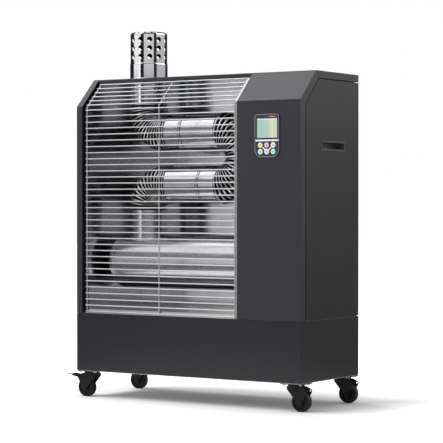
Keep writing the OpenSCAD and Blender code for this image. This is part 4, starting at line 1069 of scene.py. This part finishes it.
def push_button(node, core, ring, edge):
    low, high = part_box(node)
    axle = Vector((middle(node).x, low.y, middle(node).z))
    collar = (high.x - low.x) / 2
    cap = collar - 0.7 * MM
    length = high.y - low.y
    outline = [(0.5, 0.0), (0.42, 1.6), (0.1, 3.2), (0.0, 4.4), (0.25, 5.6), (0.7, 6.5)]
    outline = [(along * MM, away * MM) for along, away in outline]
    outline += [(1.3 * MM, cap), (4.8 * MM, cap), (4.8 * MM, collar), (5.9 * MM, collar),
                (5.9 * MM, 2.5 * MM), (length, 2.5 * MM), (length, 0.0)]
    bm = bmesh.new()
    lathe(bm, outline, axle, (0, 1, 0), 48, closed=False)
    stand_in(node + "_domed", bm, node, ringed(node + "_finish", axle, core, ring, edge))


WHITE = (0.84, 0.82, 0.86)
push_button("button_1", (0.42, 0.4, 0.08), (0.8, 0.8, 0.36), (0.8, 0.66, 0.55))
push_button("button_2", (0.12, 0.03, 0.08), (0.86, 0.66, 0.78), (0.42, 0.16, 0.28))
push_button("button_3", (0.24, 0.22, 0.26), WHITE, WHITE)
push_button("button_4", (0.06, 0.14, 0.26), (0.7, 0.84, 0.88), (0.5, 0.76, 0.5))
push_button("button_5", (0.26, 0.25, 0.3), WHITE, (0.7, 0.7, 0.72))
push_button("button_6", (0.1, 0.4, 0.3), (0.58, 0.86, 0.82), (0.3, 0.6, 0.56))

# %% [markdown]
# ## Rivets
# A few rivets hold the mirror sheets to the cabinet. They are small domes that show as dark dots,
# so they are set where the photo shows them.

# %% Rivets on the mirror
RIVETS_MM = [(-280.5, 613), (-101, 638), (-77.5, 638.5), (9.5, 482)]
RIVET_RADIUS = 2.6 * MM
mirror_face = middle("reflector_back").y + 0.1 * MM
rivets = bmesh.new()
for x, z in RIVETS_MM:
    at = Matrix.Translation((x * MM, mirror_face, z * MM)) @ Matrix.Rotation(math.pi / 2, 4, "X")
    bmesh.ops.create_cone(rivets, cap_ends=True, segments=20, radius1=RIVET_RADIUS,
                          radius2=RIVET_RADIUS * 0.6, depth=1.2 * MM, matrix=at)
dark_rivet = enamel("dark_rivet", (0.05, 0.05, 0.05), 0.3)
make_piece("mirror_rivets", rivets, "root", "bolt_zinc", dark_rivet)

# %% [markdown]
# ## Camera
# The photograph was taken from the right of the front and from far away, so the level edges
# hardly converge. The camera's place, direction and focal length were worked out from where the
# cabinet's corners lie in it.

# %% Place the camera
camera_data = bpy.data.cameras.new("camera")
camera_data.lens = 146.3
camera_data.sensor_width = 36.0
camera_data.clip_end = 60.0
camera = put("camera", camera_data)
view_turn = math.radians(33.21)
view_drop = math.radians(0.61)
camera.location = (2.6150, -3.9344, 0.5165)
camera.rotation_euler = (math.pi / 2 - view_drop, 0, view_turn)
bpy.context.scene.camera = camera
print("camera", round(camera.location.length, 2), "m away")

# %% [markdown]
# ## Studio
# Polished steel has no look of its own: it shows the room. A product studio therefore hangs
# white cards and black flags around such an object. Here they are curved panels far out, spun
# from one edge each, and only reflections see them, so they shape the metal and leave the
# paint's light alone. Their places were read from the reflections in the photo.

# %% Curved panels that only reflections see
FAR = 6.0
NEARER = 5.9


def hang(name, bm, level):
    """Makes a card that glows by itself and is seen by reflections alone."""
    glow = bpy.data.materials.new(name)
    glow.use_nodes = True
    glow.cycles.emission_sampling = "NONE"
    graph = Graph(glow.node_tree)
    light = graph.add("ShaderNodeEmission", {}, {"Color": grey(1.0), "Strength": level})
    graph.add("ShaderNodeOutputMaterial", {}, {"Surface": light})
    card = put(name, mesh_of(name, bm))
    card.data.materials.append(glow)
    card.visible_camera = False
    card.visible_diffuse = False
    card.visible_shadow = False
    card.visible_transmission = False
    card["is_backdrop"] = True


def panel(name, level, start, end, low, high, distance=FAR):
    """A curved card. Its angles are seen from above, from the camera's side, right positive."""
    bm = bmesh.new()
    first, last = [view_turn - math.pi / 2 + math.radians(a) for a in (start, end)]
    foot = [distance * math.cos(first), distance * math.sin(first)]
    lower = bm.verts.new((*foot, low))
    upper = bm.verts.new((*foot, high))
    edge = bm.edges.new((lower, upper))
    bmesh.ops.spin(bm, geom=[lower, upper, edge], cent=(0, 0, 0), axis=UP,
                   angle=last - first, steps=max(2, int((end - start) / 3)))
    hang(name, bm, level)


print("panels hang", FAR, "m away, and those in front of others", NEARER)

# %% [markdown]
# Each row gives a panel's name, its brightness, where it starts and ends in degrees, and its
# lowest and highest edge in metres. The black flags draw the dark bands in the steel, and the
# cards between them the pale ones. Two flat rings do the same just over the floor.

# %% The panels and the floor's rings
LEFT = (-99, -47)
FRONT = (-31, 32)
RIGHT_SIDE = (51, 124)
ALL_HEIGHTS = (-0.2, 9.5)
LOW_CARDS = (-0.2, 1.24)
FLUE_CARDS = (1.24, 1.62)
BLACK = 0.02
panels = [
    ("flag_back_left", BLACK, -180, -99, *ALL_HEIGHTS), ("card_left_far", 0.2, -99, -68, *LOW_CARDS),
    ("card_left_mid", 0.28, -68, -65.5, *LOW_CARDS), ("card_left_near", 1.6, -65.5, -47, *LOW_CARDS),
    ("card_left_strip", 1.15, -104, -53, *FLUE_CARDS, NEARER),
    ("card_left_band", 0.32, *LEFT, 1.62, 1.95), ("card_left_up", 0.22, *LEFT, 1.95, 3.9),
    ("flag_left_up", 0.14, *LEFT, 3.9, 5.4), ("card_left_high", 1.7, *LEFT, 5.4, 9.5),
    ("flag_front_left", BLACK, -53, -31, *ALL_HEIGHTS, NEARER),
    ("card_front_low", 0.28, *FRONT, -0.2, 0.9), ("flag_front", BLACK, *FRONT, 0.9, 1.24),
    ("card_front", 0.78, *FRONT, 1.24, 2.6), ("flag_front_high", 0.1, *FRONT, 2.6, 9.5),
    ("flag_front_right", BLACK, 32, 51, *ALL_HEIGHTS),
    ("card_right_low", 0.05, *RIGHT_SIDE, -0.2, 0.7), ("card_right", 0.5, *RIGHT_SIDE, 0.7, 1.7),
    ("card_right_high", 3.0, *RIGHT_SIDE, 1.7, 5.0), ("flag_back_right", BLACK, 124, 180, *ALL_HEIGHTS),
]
for row in panels:
    panel(*row)


def floor_flag(name, level, inner, outer):
    """A flat ring just over the floor, which keeps the white floor out of the low reflections."""
    bm = bmesh.new()
    near = bm.verts.new((inner, 0, 0.012))
    far = bm.verts.new((outer, 0, 0.012))
    full_turn(bm, [near, far, bm.edges.new((near, far))], (0, 0, 0), UP, 72)
    hang(name, bm, level)


floor_flag("flag_floor", 0.14, 0.6, 3.4)
floor_flag("card_floor", 0.8, 3.4, FAR)
print(len(panels), "panels and two rings")

# %% [markdown]
# The light is a long soft box, high in front and to the left, and a broad one overhead. A lamp
# that lights paint well is far too bright in polished steel, so each lamp keeps out of the
# reflections, and a white card of the same size hangs in its place there. The card's stripe lies
# along each pipe a quarter of the way down.

# %% Soft boxes
def aimed(place, target):
    """Turns something's back to its own +Z, at a place, so that it faces a target."""
    turn = (Vector(target) - Vector(place)).to_track_quat("-Z", "Y")
    return Matrix.Translation(place) @ turn.to_matrix().to_4x4()


def soft_box(name, width, height, power, glow, place, target):
    light = bpy.data.lights.new(name + "_lamp", "AREA")
    light.shape = "RECTANGLE"
    light.size = width
    light.size_y = height
    light.energy = power
    holder = put(name + "_lamp", light)
    holder.matrix_world = aimed(place, target)
    holder.visible_glossy = False
    bm = bmesh.new()
    bmesh.ops.create_grid(bm, x_segments=1, y_segments=1, size=0.5)
    bmesh.ops.scale(bm, vec=(width, height, 1), verts=bm.verts)
    bmesh.ops.transform(bm, matrix=aimed(place, target), verts=bm.verts)
    hang(name + "_card", bm, glow)


heart = (cad_bounds[0] + cad_bounds[1]) / 2
soft_box("key", 2.6, 1.1, 60.0, 1.6, heart + Vector((-0.547, -0.53, 0.65)) * 3.0, heart)
soft_box("overhead", 2.4, 1.6, 30.0, 2.6, heart + Vector((-0.5, 0.05, 0.87)) * 3.0, heart)
print("two soft boxes, aimed at", [round(c, 2) for c in heart])

# %% [markdown]
# The white world fills the shadows at a low level, and shows as pure white only where it is seen,
# straight on or in a reflection.

# %% World
world = bpy.data.worlds.new("white_world")
world.use_nodes = True
bpy.context.scene.world = world
air = Graph(world.node_tree)
FILL = 0.6


def shown(graph):
    """1 for the rays that show a thing itself, and 0 for those that only carry its light."""
    straight = graph.add("ShaderNodeLightPath", {}, {}, "Is Camera Ray")
    mirrored = straight.twin("Is Glossy Ray")
    through = straight.twin("Is Transmission Ray")
    return straight.most(mirrored).most(through)


sky = air.add("ShaderNodeBackground", {},
              {"Color": grey(1.0), "Strength": FILL + shown(air) * (1 - FILL)})
air.add("ShaderNodeOutputWorld", {}, {"Surface": sky})
bpy.context.scene.view_settings.view_transform = "Standard"
print("a white world that fills at", FILL)

# %% [markdown]
# The floor is a large sheet that fades into the world. Part of its white is its own glow, for the
# rays that show it, and the rest is light that the object can shade, so its shadow stays. The glow
# fades out under the object and close by it, which paints a shadow there that is deeper than the real
# one.

# %% Floor
FLOOR_HALF = 14.0
FLOOR_GLOW = 0.6
sheet = bmesh.new()
bmesh.ops.create_grid(sheet, x_segments=8, y_segments=8, size=FLOOR_HALF)
ground = put("floor", mesh_of("floor", sheet))
paper = Finish("floor_paper")
aside = paper.along("X").size() - cad_bounds[1].x
afore = paper.along("Y").size() - cad_bounds[1].y
# Painted shadow: the glow is taken away under the cabinet and fades back in up to a quarter metre round
# it.
clear = aside.most(afore).step(-0.04, 0.25)
glow = shown(paper) * clear * FLOOR_GLOW
paper.connect(paper.surface, {"Emission Color": grey(1.0), "Emission Strength": glow})
dress(ground, paper.skin(grey(0.93), 0.9, (paper.noise(300.0, 2.0), 0.05, 0.0002), gloss=0.0))
ground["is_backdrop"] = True
print("floor laid")

# %% [markdown]
# ## Measure and finish
# The pieces that replace nodes must keep to the frame's size, so the dressed scene's box is printed.

# %% Print the dressed scene's box
dressed_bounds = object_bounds()
for low, high, name in zip(dressed_bounds[0], dressed_bounds[1], "xyz"):
    print(name, "from", round(low, 4), "to", round(high, 4))
